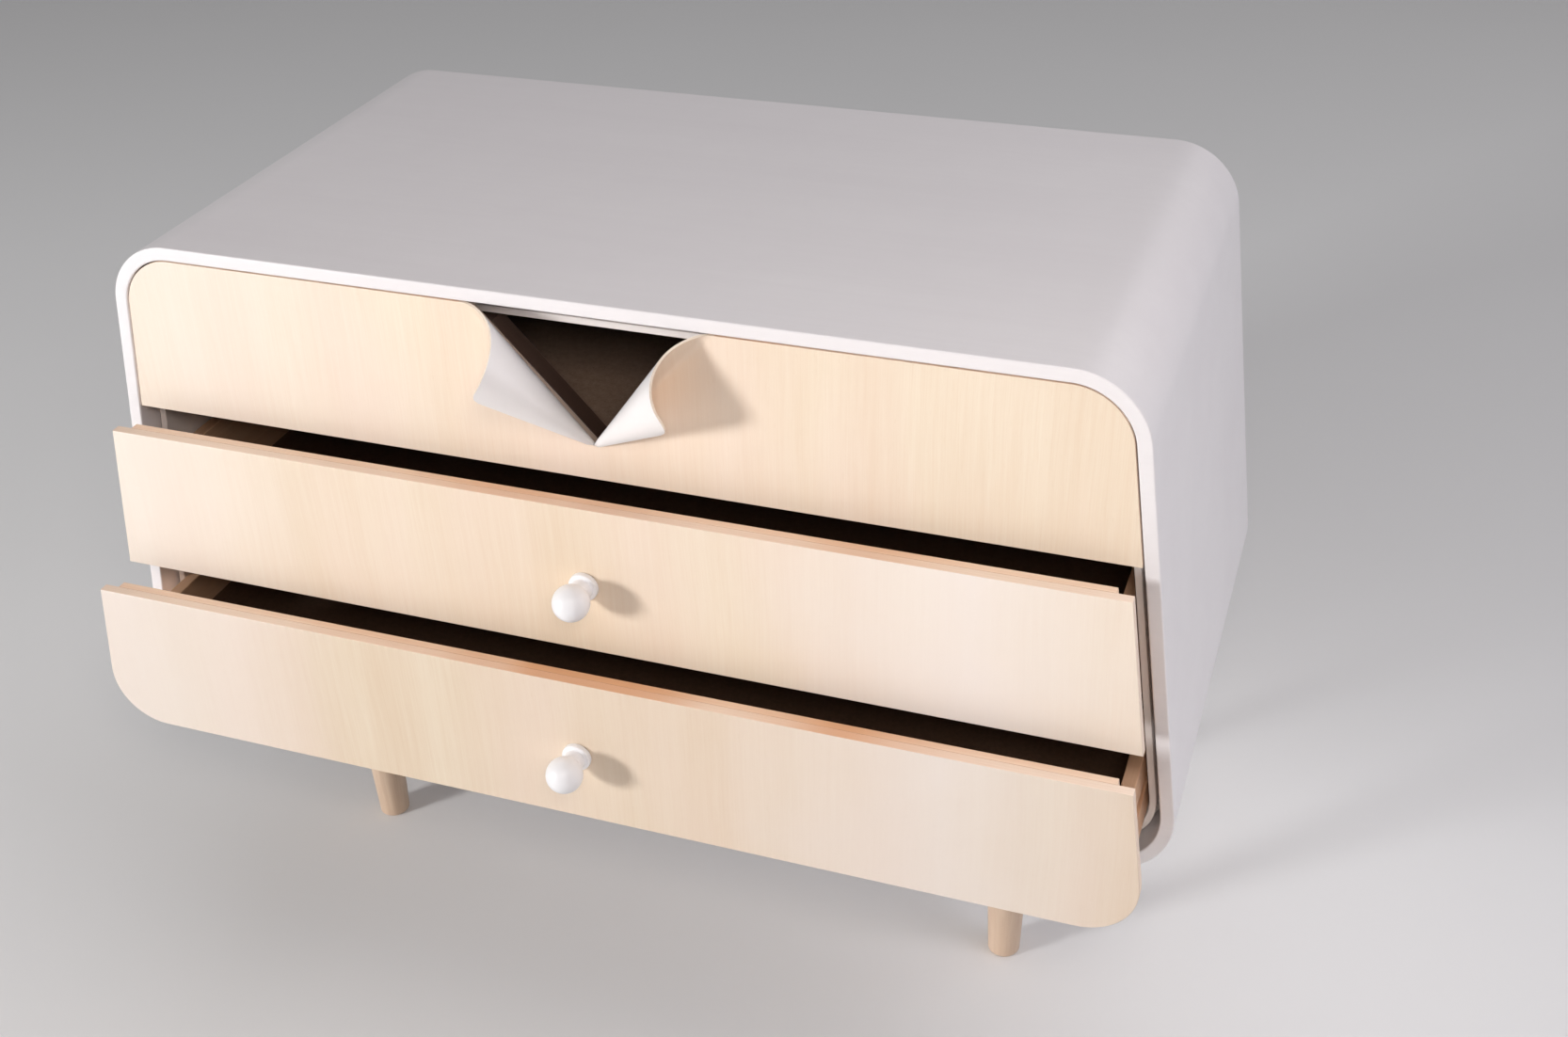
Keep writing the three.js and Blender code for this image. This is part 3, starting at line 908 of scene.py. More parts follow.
@dataclass(frozen=True)
class Finish:
    """A finish with a name, which wires its own material."""

    name: str

    def material(self, groups: Groups) -> bpy.types.Material:
        """Builds the material.

        Args:
            groups: the shared node groups.

        Returns:
            The material.
        """
        material = bpy.data.materials.new(self.name)
        material.use_nodes = True
        tree = material.node_tree
        self.wire(Surface(Graph(tree), tree.nodes["Principled BSDF"], groups))
        return material

    def wire(self, surface: Surface) -> None:
        """Wires the material's nodes to its shader; each kind of finish has its own way."""
        raise NotImplementedError(self.name)


@dataclass(frozen=True)
class PaintedSheen:
    """A soft upright zone of a front painted paler: painted sheen, standing in for the lights' reflection on the
    veneer.
    """

    middle: float
    reach: float
    strength: float
    core: float = 0.06
    ragged: float = 0.12

    def lay(self, graph: Graph, tint: Socket, colour: Colour) -> Socket:
        """Paints a paler colour about the zone's middle, as painted sheen.

        Args:
            graph: the material's nodes.
            tint: the colour so far.
            colour: the paler colour of the painted sheen.

        Returns:
            The colour with the sheen painted on.
        """
        place = graph.place()
        across = graph.add("ShaderNodeSeparateXYZ", {0: place}).outputs["X"]
        off = graph.maths("ABSOLUTE", graph.maths("SUBTRACT", across, self.middle))
        off = graph.maths("MULTIPLY_ADD", graph.noise(place, 6.0, 3.0), self.ragged, off)
        return graph.blend(graph.remap(off, self.core, self.reach + self.core, self.strength, 0.0), tint, colour)


@dataclass(frozen=True)
class Timber(Finish):
    """Clear-finished or stained wood."""

    pale: Colour
    deep: Colour
    blush: Colour
    grain: Grain = Grain.UPRIGHT
    follows: Follows = Follows.PLACE
    shift: Triple = (0.0, 0.0, 0.0)
    band_scale: float = 16.0
    streak_scale: float = 180.0
    contrast: float = 0.6
    patch_scale: float = 6.0
    roughness: float = 0.42
    coat: float = 0.1
    coat_roughness: float = 0.28
    bump: float = 0.5
    relief: float = 0.00012
    # Paler colour painted in soft zones as sheen, and the zones themselves.
    sheen_colour: Colour = (1.0, 1.0, 1.0)
    painted_sheens: Tuple[PaintedSheen, ...] = ()

    def wire(self, surface: Surface) -> None:
        """Lays the grain, then the zones of painted sheen, with the roughness uneven from grain and use.

        Args:
            surface: the material's shader and nodes.
        """
        graph, groups = surface.graph, surface.groups
        where = coordinates(graph, self.follows, self.grain, self.shift)
        wood = graph.use(
            groups.grain,
            Vector=where,
            Pale=self.pale,
            Deep=self.deep,
            Blush=self.blush,
            Band_Scale=self.band_scale,
            Streak_Scale=self.streak_scale,
            Contrast=self.contrast,
        )
        used = graph.use(groups.handling, Vector=where, Patch_Scale=self.patch_scale)
        tint = wood["Colour"]
        # Painted sheen: paler zones standing in for reflected light.
        for sheen in self.painted_sheens:
            tint = sheen.lay(graph, tint, self.sheen_colour)
        rough = graph.around(wood["Mask"], self.roughness, 0.08)
        rough = graph.maths("ADD", rough, graph.around(used["Patches"], 0.0, 0.08))
        surface.colour(tint, rough)
        surface.coat(self.coat, self.coat_roughness)
        surface.bump(wood["Height"], self.bump, self.relief)


@dataclass(frozen=True)
class Lacquer(Finish):
    """Opaque paint or lacquer on wood, with a faint orange peel and the grain just telling through."""

    colour: Colour
    shade: Colour
    grain: Grain = Grain.ACROSS
    patch_scale: float = 5.0
    telling: float = 0.55
    roughness: float = 0.34
    coat: float = 0.25
    coat_roughness: float = 0.3
    bump: float = 0.4
    peel: float = 0.00005

    def wire(self, surface: Surface) -> None:
        """Soils the coat faintly and lets the grain tell through in colour and relief.

        Args:
            surface: the material's shader and nodes.
        """
        graph, groups = surface.graph, surface.groups
        where = coordinates(graph, Follows.PLACE, self.grain)
        used = graph.use(groups.handling, Vector=where, Patch_Scale=self.patch_scale)
        wood = graph.use(groups.grain, Vector=where, Band_Scale=20.0, Streak_Scale=150.0, Contrast=1.0)
        soil = graph.maths("MULTIPLY", used["Patches"], 0.5)
        soil = graph.maths("ADD", soil, graph.maths("MULTIPLY", used["Specks"], 0.3), clamp=True)
        tint = graph.blend(soil, self.colour, self.shade)
        tint = graph.blend(graph.maths("MULTIPLY", wood["Mask"], self.telling), tint, self.shade)
        surface.colour(tint, graph.around(used["Patches"], self.roughness, 0.1))
        surface.coat(self.coat, self.coat_roughness)
        height = graph.maths("ADD", used["Height"], graph.maths("MULTIPLY", wood["Height"], 0.6))
        surface.bump(height, self.bump, self.peel)


@dataclass(frozen=True)
class PlyEdge(Finish):
    """The cut edge of plywood, its plies stacked front to rear, with flares of heartwood about its middle."""

    pale: Colour
    deep: Colour
    glue: Colour
    heart: Optional[Colour] = None
    ply: float = 0.0015
    layer_share: float = 0.2
    glue_share: float = 0.14
    roughness: float = 0.55
    bump: float = 0.5
    relief: float = 0.00015
    flare: float = 0.5
    flare_middle: float = 0.08
    flare_core: float = 0.16
    flare_reach: float = 0.36

    def wire(self, surface: Surface) -> None:
        """Lays the plies over the grain, then the heartwood, then the glue lines.

        Args:
            surface: the material's shader and nodes.
        """
        graph, groups = surface.graph, surface.groups
        where = coordinates(graph, Follows.PLACE, Grain.ACROSS)
        place = graph.place()
        across, depth, _ = graph.add("ShaderNodeSeparateXYZ", {0: place}).outputs
        plies = graph.use(groups.plies, Depth=depth, Ply=self.ply, Vector=place)
        wood = graph.use(
            groups.grain,
            Vector=where,
            Pale=self.pale,
            Deep=self.deep,
            Blush=self.pale,
            Band_Scale=60.0,
            Streak_Scale=420.0,
            Contrast=1.2,
        )
        tint = graph.blend(graph.maths("MULTIPLY", plies["Layer"], self.layer_share), wood["Colour"], self.deep)
        if self.heart:
            flare = graph.remap(graph.noise(graph.scaled(place, (5.0, 0.5, 9.0)), 1.0, 2.0), 0.4, 0.58)
            off = graph.maths("ABSOLUTE", graph.maths("SUBTRACT", across, self.flare_middle))
            near = graph.remap(off, self.flare_core, self.flare_reach, self.flare, 0.0)
            tint = graph.blend(graph.maths("MULTIPLY", flare, near), tint, self.heart)
        tint = graph.blend(graph.maths("MULTIPLY", plies["Glue"], self.glue_share), tint, self.glue)
        surface.colour(tint, graph.maths("MULTIPLY_ADD", wood["Mask"], 0.15, self.roughness - 0.05))
        surface.bump(graph.maths("ADD", wood["Height"], plies["Height"]), self.bump, self.relief)


@dataclass(frozen=True)
class Hardboard(Finish):
    """Pressed fibre board, smooth and slightly mottled."""

    pale: Colour
    deep: Colour

    patch_scale: float = 9.0
    roughness: float = 0.55
    bump: float = 0.4
    relief: float = 0.0002

    def wire(self, surface: Surface) -> None:
        """Mottles the board with fibres and flecks.

        Args:
            surface: the material's shader and nodes.
        """
        graph = surface.graph
        where = coordinates(graph, Follows.PLACE)
        fibres = graph.noise(where, 240.0, 6.0, 0.75)
        flecks = graph.noise(where, 1400.0, 2.0)
        used = graph.use(surface.groups.handling, Vector=where, Patch_Scale=self.patch_scale)
        share = graph.remap(graph.maths("ADD", fibres, graph.maths("MULTIPLY", flecks, 0.5)), 0.55, 0.95)
        rough = graph.maths("MULTIPLY_ADD", used["Patches"], 0.12, self.roughness)
        surface.colour(graph.blend(share, self.pale, self.deep), rough)
        surface.bump(fibres, self.bump, self.relief)


@dataclass(frozen=True)
class Zinc(Finish):
    """Zinc-plated steel with a faint spangle and fine turning marks."""

    colour: Colour
    patch_scale: float = 160.0
    roughness: float = 0.35
    dulling: float = 0.7
    bump: float = 0.3
    relief: float = 0.00005

    def wire(self, surface: Surface) -> None:
        """Dulls the plating in small patches.

        Args:
            surface: the material's shader and nodes.
        """
        graph = surface.graph
        where = coordinates(graph, Follows.PLACE)
        used = graph.use(surface.groups.handling, Vector=where, Patch_Scale=self.patch_scale)
        dull = tuple(part * self.dulling for part in self.colour)
        tint = graph.blend(used["Patches"], self.colour, dull)
        surface.colour(tint, graph.around(used["Patches"], self.roughness, 0.2))
        surface.shader.inputs["Metallic"].default_value = 1.0
        surface.bump(used["Height"], self.bump, self.relief)


@dataclass(frozen=True)
class Ground(Finish):
    """A matt floor with broad, faint clouds."""

    pale: Colour
    deep: Colour
    roughness: float = 0.7

    def wire(self, surface: Surface) -> None:
        """Clouds the floor."""
        graph = surface.graph
        surface.colour(graph.blend(graph.noise(graph.place(), 1.5, 3.0), self.deep, self.pale), self.roughness)


FRONT_PALE = srgb(247, 234, 214)
FRONT_DEEP = srgb(231, 206, 178)
FRONT_BLUSH = srgb(248, 227, 216)
# The paler veneer colour that is painted on as sheen.
FRONT_SHEEN = srgb(248, 238, 232)


def toned(colour: Colour, tone: Triple) -> Colour:
    """A colour darkened by a factor for each of its parts."""
    return colour[0] * tone[0], colour[1] * tone[1], colour[2] * tone[2]


def front_veneer(
    name: str, shift: Triple, tone: Triple, follows: Follows = Follows.PLACE, painted_sheens: Tuple[PaintedSheen, ...] = ()
) -> Timber:
    """The pale veneer of a drawer front.

    Args:
        name: the finish's name.
        shift: how far its figure is moved.
        tone: how much of each part of its colour is left; below 1 it is painted shade.
        follows: what its figure follows.
        painted_sheens: its zones of painted sheen.

    Returns:
        The veneer.
    """
    return Timber(
        name,
        toned(FRONT_PALE, tone),
        toned(FRONT_DEEP, tone),
        toned(FRONT_BLUSH, tone),
        follows=follows,
        shift=shift,
        band_scale=15.0,
        streak_scale=210.0,
        contrast=0.75,
        sheen_colour=toned(FRONT_SHEEN, tone),
        painted_sheens=painted_sheens,
    )


def beech(name: str, grain: Grain) -> Timber:
    """Bare beech with its grain running one way."""
    colours = srgb(226, 190, 158), srgb(198, 152, 116), srgb(220, 176, 142)
    return Timber(name, *colours, grain, contrast=1.0, coat=0.0)


SHELL_WHITE = Lacquer("white_lacquer", srgb(243, 240, 241), srgb(232, 228, 230), roughness=0.42, coat=0.14)
SLEEVE_WHITE = Lacquer("sleeve_paint", srgb(237, 230, 226), srgb(226, 218, 213), roughness=0.45, coat=0.1)
LEAF_WHITE = Lacquer("leaf_underside", srgb(250, 247, 246), srgb(242, 238, 237), Grain.UPRIGHT, roughness=0.3)
KNOB_WHITE = Lacquer("gloss_white", srgb(246, 246, 248), srgb(238, 237, 239), roughness=0.4, coat=0.12, peel=0.00003)
SKIN_EDGE = PlyEdge("front_edge", srgb(252, 232, 214), srgb(237, 211, 189), srgb(190, 154, 130), srgb(226, 176, 140))
BACKING_EDGE = PlyEdge(
    "backing_edge", srgb(253, 229, 206), srgb(239, 198, 166), srgb(186, 142, 112), srgb(222, 168, 126), ply=0.002
)
# Grey-brown ply edge for the core's V-cut faces: painted shade on the same ply that elsewhere takes the pale edge.
CORE_EDGE_SHADED = PlyEdge("core_edge_painted_shade", srgb(206, 186, 170), srgb(176, 154, 140), srgb(120, 102, 92))
LEAF_EDGE = PlyEdge("leaf_edge", srgb(246, 234, 218), srgb(232, 214, 194), srgb(206, 182, 160), ply=0.0007)
BEECH_ACROSS = beech("beech_across", Grain.ACROSS)
BEECH_ALONG = beech("beech_along", Grain.ALONG)
LEG_BEECH = Timber(
    "turned_beech",
    srgb(228, 205, 181),
    srgb(202, 172, 146),
    srgb(224, 194, 170),
    contrast=1.1,
    band_scale=60.0,
    coat=0.2,
)
DARK_BOARD = Timber(
    "dark_stain",
    srgb(84, 65, 56),
    srgb(60, 45, 38),
    srgb(76, 58, 50),
    Grain.ACROSS,
    contrast=0.9,
    roughness=0.38,
    coat=0.2,
)
# A paler copy of the dark stain for the V's rear arris: painted highlight.
ARRIS_HIGHLIGHT = Timber(
    "arris_painted_highlight",
    srgb(150, 132, 124),
    srgb(120, 102, 94),
    srgb(138, 120, 112),
    Grain.ACROSS,
    contrast=0.9,
    roughness=0.4,
    coat=0.1,
)
FIBRE_BOARD = Hardboard("hardboard", srgb(170, 146, 128), srgb(140, 116, 100))
# A darker copy of the hardboard: painted shade, also standing in for the dark contents left out of the drawers.
SHADED_FIBRE = Hardboard("hardboard_painted_shade", srgb(104, 80, 64), srgb(80, 60, 46))
ZINC = Zinc("zinc_steel", srgb(196, 198, 202))
STUDIO_FLOOR = Ground("studio_floor", (0.815, 0.815, 0.815), (0.79, 0.79, 0.79))


class Wardrobe:
    """Builds each finish once and hands out its material."""

    def __init__(self) -> None:
        """Builds the shared node groups."""
        self.groups = Groups(build_grain_group(), build_handling_group(), build_plies_group())
        self.made: dict = {}

    def get(self, finish: Finish) -> bpy.types.Material:
        """Looks a finish up by its name, and builds it the first time.

        Args:
            finish: the finish.

        Returns:
            Its material.
        """
        if finish.name not in self.made:
            self.made[finish.name] = finish.material(self.groups)
        return self.made[finish.name]

    def dress(self, obj: Piece, *finishes: Finish) -> None:
        """Replaces an object's materials.

        Args:
            obj: the object.
            finishes: its finishes, in slot order.
        """
        obj.data.materials.clear()
        for finish in finishes:
            obj.data.materials.append(self.get(finish))


def lay_finish(obj: Piece, choose: Chooser) -> None:
    """Gives each face the material slot that a chooser names.

    Args:
        obj: the piece, with its materials in place.
        choose: takes a face's centre and normal and gives a slot number.
    """
    for face in obj.data.polygons:
        face.material_index = choose(face.center, face.normal)


def only_first(_: Vector, __: Vector) -> int:
    """Chooses the first slot everywhere."""
    return 0


def face_or_edge(_: Vector, normal: Vector) -> int:
    """Chooses the first slot for a board's front and rear, and the second for its cut edges."""
    return 0 if abs(normal.y) > LOOKS_MOSTLY_ALONG else 1


@dataclass
class Kit:
    """What every sub-assembly is built with."""

    plan: BodyPlan
    wardrobe: Wardrobe

    def hang(self, obj: Piece, body: str, slot: str, *nodes: str) -> None:
        """Hangs a finished piece on a body, in place of the nodes it stands for.

        Args:
            obj: the finished piece.
            body: the body that it moves with.
            slot: the record's material slot; not used.
            nodes: the nodes that it replaces.
        """
        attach(obj, body)
        if nodes:
            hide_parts(*nodes)
        LOG.info("%s: %d faces on %s", obj.name, len(obj.data.polygons), body)

    def add(
        self, obj: Piece, body: str, slot: str, finishes: Sequence[Finish], *nodes: str, choose: Chooser = only_first
    ) -> None:
        """Dresses a modelled piece and hangs it on a body.

        Args:
            obj: the modelled piece.
            body: the body that it moves with.
            slot: the record's material slot.
            finishes: its finishes, in slot order.
            nodes: the nodes that it replaces.
            choose: takes a face's centre and normal and gives the number of its finish.
        """
        self.wardrobe.dress(obj, *finishes)
        lay_finish(obj, choose)
        self.hang(obj, body, slot, *nodes)


# The body


@dataclass(frozen=True)
class Screw:
    """A countersunk cross-head screw, seen by its head; its shares are of the head's radius."""

    radius: float = 0.0038
    sink: float = 0.0022
    proud: float = 0.0006
    recess: float = 0.0009
    rim_share: float = 0.12
    shank_share: float = 0.5
    slot_length_share: float = 1.15
    slot_width_share: float = 0.26
    steps: int = 20

    def model(self) -> Piece:
        """Models the head at the origin, its face towards +Z.

        Returns:
            The head.
        """
        rim = self.radius * self.rim_share
        profile = [
            (0.0, -self.sink),
            (self.radius * self.shank_share, -self.sink),
            (self.radius, 0.0),
            (self.radius, self.proud - rim),
            (self.radius - rim, self.proud),
            (0.0, self.proud),
        ]
        head = turned("screw_head", profile, self.steps)
        for turn in (0.0, math.pi / 2):
            deselect()
            bpy.ops.mesh.primitive_cube_add(size=1.0, location=(0.0, 0.0, self.proud), rotation=(0.0, 0.0, turn))
            cutter = bpy.context.object
            length, width = self.radius * self.slot_length_share, self.radius * self.slot_width_share
            cutter.scale = (length, width, 2 * self.recess)
            settle(cutter)
            apply_modifier(head, "BOOLEAN", object=cutter, operation="DIFFERENCE", solver="EXACT")
            bpy.data.objects.remove(cutter)
        return head

    def drive(self, kit: Kit, places: Sequence[Vector], name: str, body: str) -> None:
        """Drives screws into rear faces, their heads to the rear.

        Args:
            kit: what the pieces are built with.
            places: where the screws sit.
            name: the name of the screws, which are one piece.
            body: the body that they move with.
        """
        screw = self.model()
        stand(screw, (0.0, 0.0, 0.0), (-math.pi / 2, 0.0, 0.0))
        screws = copy_at(screw, places, name)
        polish(screws)
        kit.add(screws, body, "steel", (ZINC,))


@dataclass
class Carcass:
    """The bent-ply shell, the sleeve inside it, the back, the legs and the runners."""

    kit: Kit
    nodes: dict
    body: str = "carcass"
    fit_gap: float = 0.0003
    rim_arris: float = 0.0015
    sleeve_arris: float = 0.0008
    back_gap: float = 0.001
    back_arris: float = 0.0005
    screw_inset: float = 0.014
    edge_screws: Tuple[float, ...] = (-0.8, -0.48, -0.16, 0.16, 0.48, 0.8)
    side_screws: Tuple[float, ...] = (0.28, 0.5, 0.72)
    leg_height: float = 0.230
    leg_foot: float = 0.0154
    leg_top: float = 0.024
    leg_rim: float = 0.001
    leg_chamfer: float = 0.0008
    leg_steps: int = 56
    foot_round: float = 0.003
    foot_steps: int = 6
    runner_reach: float = 0.0055
    runner_arris: float = 0.0008

    @property
    def shell_outline(self) -> Flared:
        """The shell's outer outline.

        Returns:
            The outline.
        """
        plan = self.kit.plan
        half = plan.height / 2
        depths = plan.rim_y, plan.rim_y + plan.depth
        return Flared(plan.mid_z + half, plan.mid_z - half, 0.0, *depths, plan.corner, plan.corner)

    def build(self) -> None:
        """Builds every piece of the body."""
        self.build_shell()
        self.build_sleeve()
        self.build_back()
        self.build_legs()
        self.build_runners()
        self.dress_nodes()

    def build_shell(self) -> None:
        """Bends the outer shell and rounds its rims."""
        shell = tube("shell", self.kit.plan, self.shell_outline, self.kit.plan.wall, self.rim_arris)
        self.kit.add(shell, self.body, "white_lacquer", (SHELL_WHITE,), "outer_shell")

    def build_sleeve(self) -> None:
        """Bends the inner sleeve, set back behind the rim."""
        plan = self.kit.plan
        radius = plan.corner - plan.wall - plan.slot
        outline = Flared(
            plan.inner_top - plan.top_slot,
            plan.inner_bottom + plan.slot,
            plan.wall + plan.slot,
            plan.rim_y + plan.sleeve_setback,
            plan.rim_y + plan.depth - plan.back_setback - plan.back_thickness - self.fit_gap,
            radius,
            radius,
        )
        sleeve = tube("sleeve", plan, outline, plan.sleeve_wall, self.sleeve_arris)
        self.kit.add(sleeve, self.body, "sleeve_paint", (SLEEVE_WHITE,), "inner_sleeve")

    def build_back(self) -> None:
        """Cuts the back panel and drives its screws."""
        plan = self.kit.plan
        rear = plan.rim_y + plan.depth - plan.back_setback
        outline = replace(
            self.shell_outline.shrunk(plan.wall + self.back_gap), front=rear - plan.back_thickness, rear=rear
        )
        board = panel("back_board", plan, outline)
        ease(board, self.back_arris, segments=2)
        self.kit.add(board, self.body, "hardboard", (FIBRE_BOARD,), "back_panel")
        top, bottom = outline.top - self.screw_inset, outline.bottom + self.screw_inset
        spots = [(share, level) for share in self.edge_screws for level in (top, bottom)]
        spots += [(side, bottom + share * (top - bottom)) for share in self.side_screws for side in (-1, 1)]
        inset = outline.inset + self.screw_inset
        places = [Vector((across * plan.half_width(level, inset), rear, level)) for across, level in spots]
        Screw().drive(self.kit, places, "back_screws", self.body)

    def build_legs(self) -> None:
        """Turns the four tapered legs."""
        centre = (self.leg_foot - self.foot_round, self.foot_round)
        foot = arc(centre, self.foot_round, -math.pi / 2, 0.0, self.foot_steps)
        spread, rise = self.leg_top - self.leg_foot, self.leg_height - self.leg_rim - self.foot_round
        taper = [(self.leg_foot + spread * share, self.foot_round + rise * share) for share in (0.25, 0.5, 0.75, 1.0)]
        top = [(self.leg_top - self.leg_chamfer, self.leg_height), (0.0, self.leg_height)]
        for corner in ("front_left", "front_right", "rear_left", "rear_right"):
            node = f"leg_{corner}"
            low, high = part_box(node)
            leg = turned(f"turned_{node}", [(0.0, 0.0), *foot, *taper, *top], self.leg_steps)
            polish(leg)
            stand(leg, ((low.x + high.x) / 2, (low.y + high.y) / 2, 0.0))
            self.kit.add(leg, self.body, "turned_beech", (LEG_BEECH,), node)

    def build_runners(self) -> None:
        """Planes the hardwood runners, with their noses eased."""
        plan = self.kit.plan
        wall, nose = plan.sleeve_inset + self.fit_gap, plan.box_inset + self.runner_reach
        for level in ("top", "middle", "bottom"):
            for hand, side in HANDS:
                node = f"runner_{level}_{hand}"
                low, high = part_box(node)
                corners = ((low.z, nose), (low.z, wall), (high.z, wall), (high.z, nose))
                section = [(side * plan.half_width(z, inset), z) for z, inset in corners]
                runner = strip(f"rail_{level}_{hand}", section, low.y, high.y)
                ease(runner, self.runner_arris, segments=2)
                self.kit.add(runner, self.body, "beech_ply", (BEECH_ALONG,), node)

    def dress_nodes(self) -> None:
        """Gives the nodes that show their own mesh, hidden in the body and the drawers, their finishes."""
        for name, node in self.nodes.items():
            if name.startswith("spacer_frame"):
                # Painted light: the spacer frames take the sleeve's white in place of their bare beech, so that the
                # slots read brighter.
                self.kit.wardrobe.dress(node, SLEEVE_WHITE)
            elif name.startswith(("leg_stud", "tee_nut")) or name.endswith("knob_screw"):
                self.kit.wardrobe.dress(node, ZINC)
            elif name.endswith("_bottom"):
                # The lower drawers' bottoms take the darker copy as painted shade; the top drawer's keeps the plain
                # hardboard.
                self.kit.wardrobe.dress(node, FIBRE_BOARD if name.startswith("drawer_top") else SHADED_FIBRE)


# The drawers


@dataclass(frozen=True)
class Knob:
    """A ball knob on a neck with a flared foot."""

    ball: float = 0.016
    reach: float = 0.043
    neck: float = 0.0095
    foot: float = 0.013
    foot_height: float = 0.005
    foot_arris: float = 0.0005
    foot_round: float = 0.0013
    fillet: float = 0.0016
    ball_steps: int = 28
    steps: int = 64

    def model(self, name: str) -> Piece:
        """Turns the knob at the origin, its axis along +Z.

        Args:
            name: the piece's name.

        Returns:
            The knob, polished.
        """
        centre = self.reach - self.ball
        join_angle = math.asin(self.neck / self.ball)
        edge, curve, fillet = self.foot_arris, self.foot_round, self.fillet
        profile = [
            (0.0, 0.0),
            *arc((self.foot - edge, edge), edge, -math.pi / 2, 0.0, 3),
            *arc((self.foot - curve, self.foot_height - curve), curve, 0.0, math.pi / 2, 6),
            *arc((self.neck + fillet, self.foot_height + fillet), fillet, math.radians(270), math.radians(180), 6),
        ]
        for i in range(self.ball_steps):
            angle = join_angle + (math.pi - join_angle) * i / self.ball_steps
            profile.append((self.ball * math.sin(angle), centre - self.ball * math.cos(angle)))
        knob = turned(name, [*profile, (0.0, self.reach)], self.steps)
        polish(knob)
        return knob


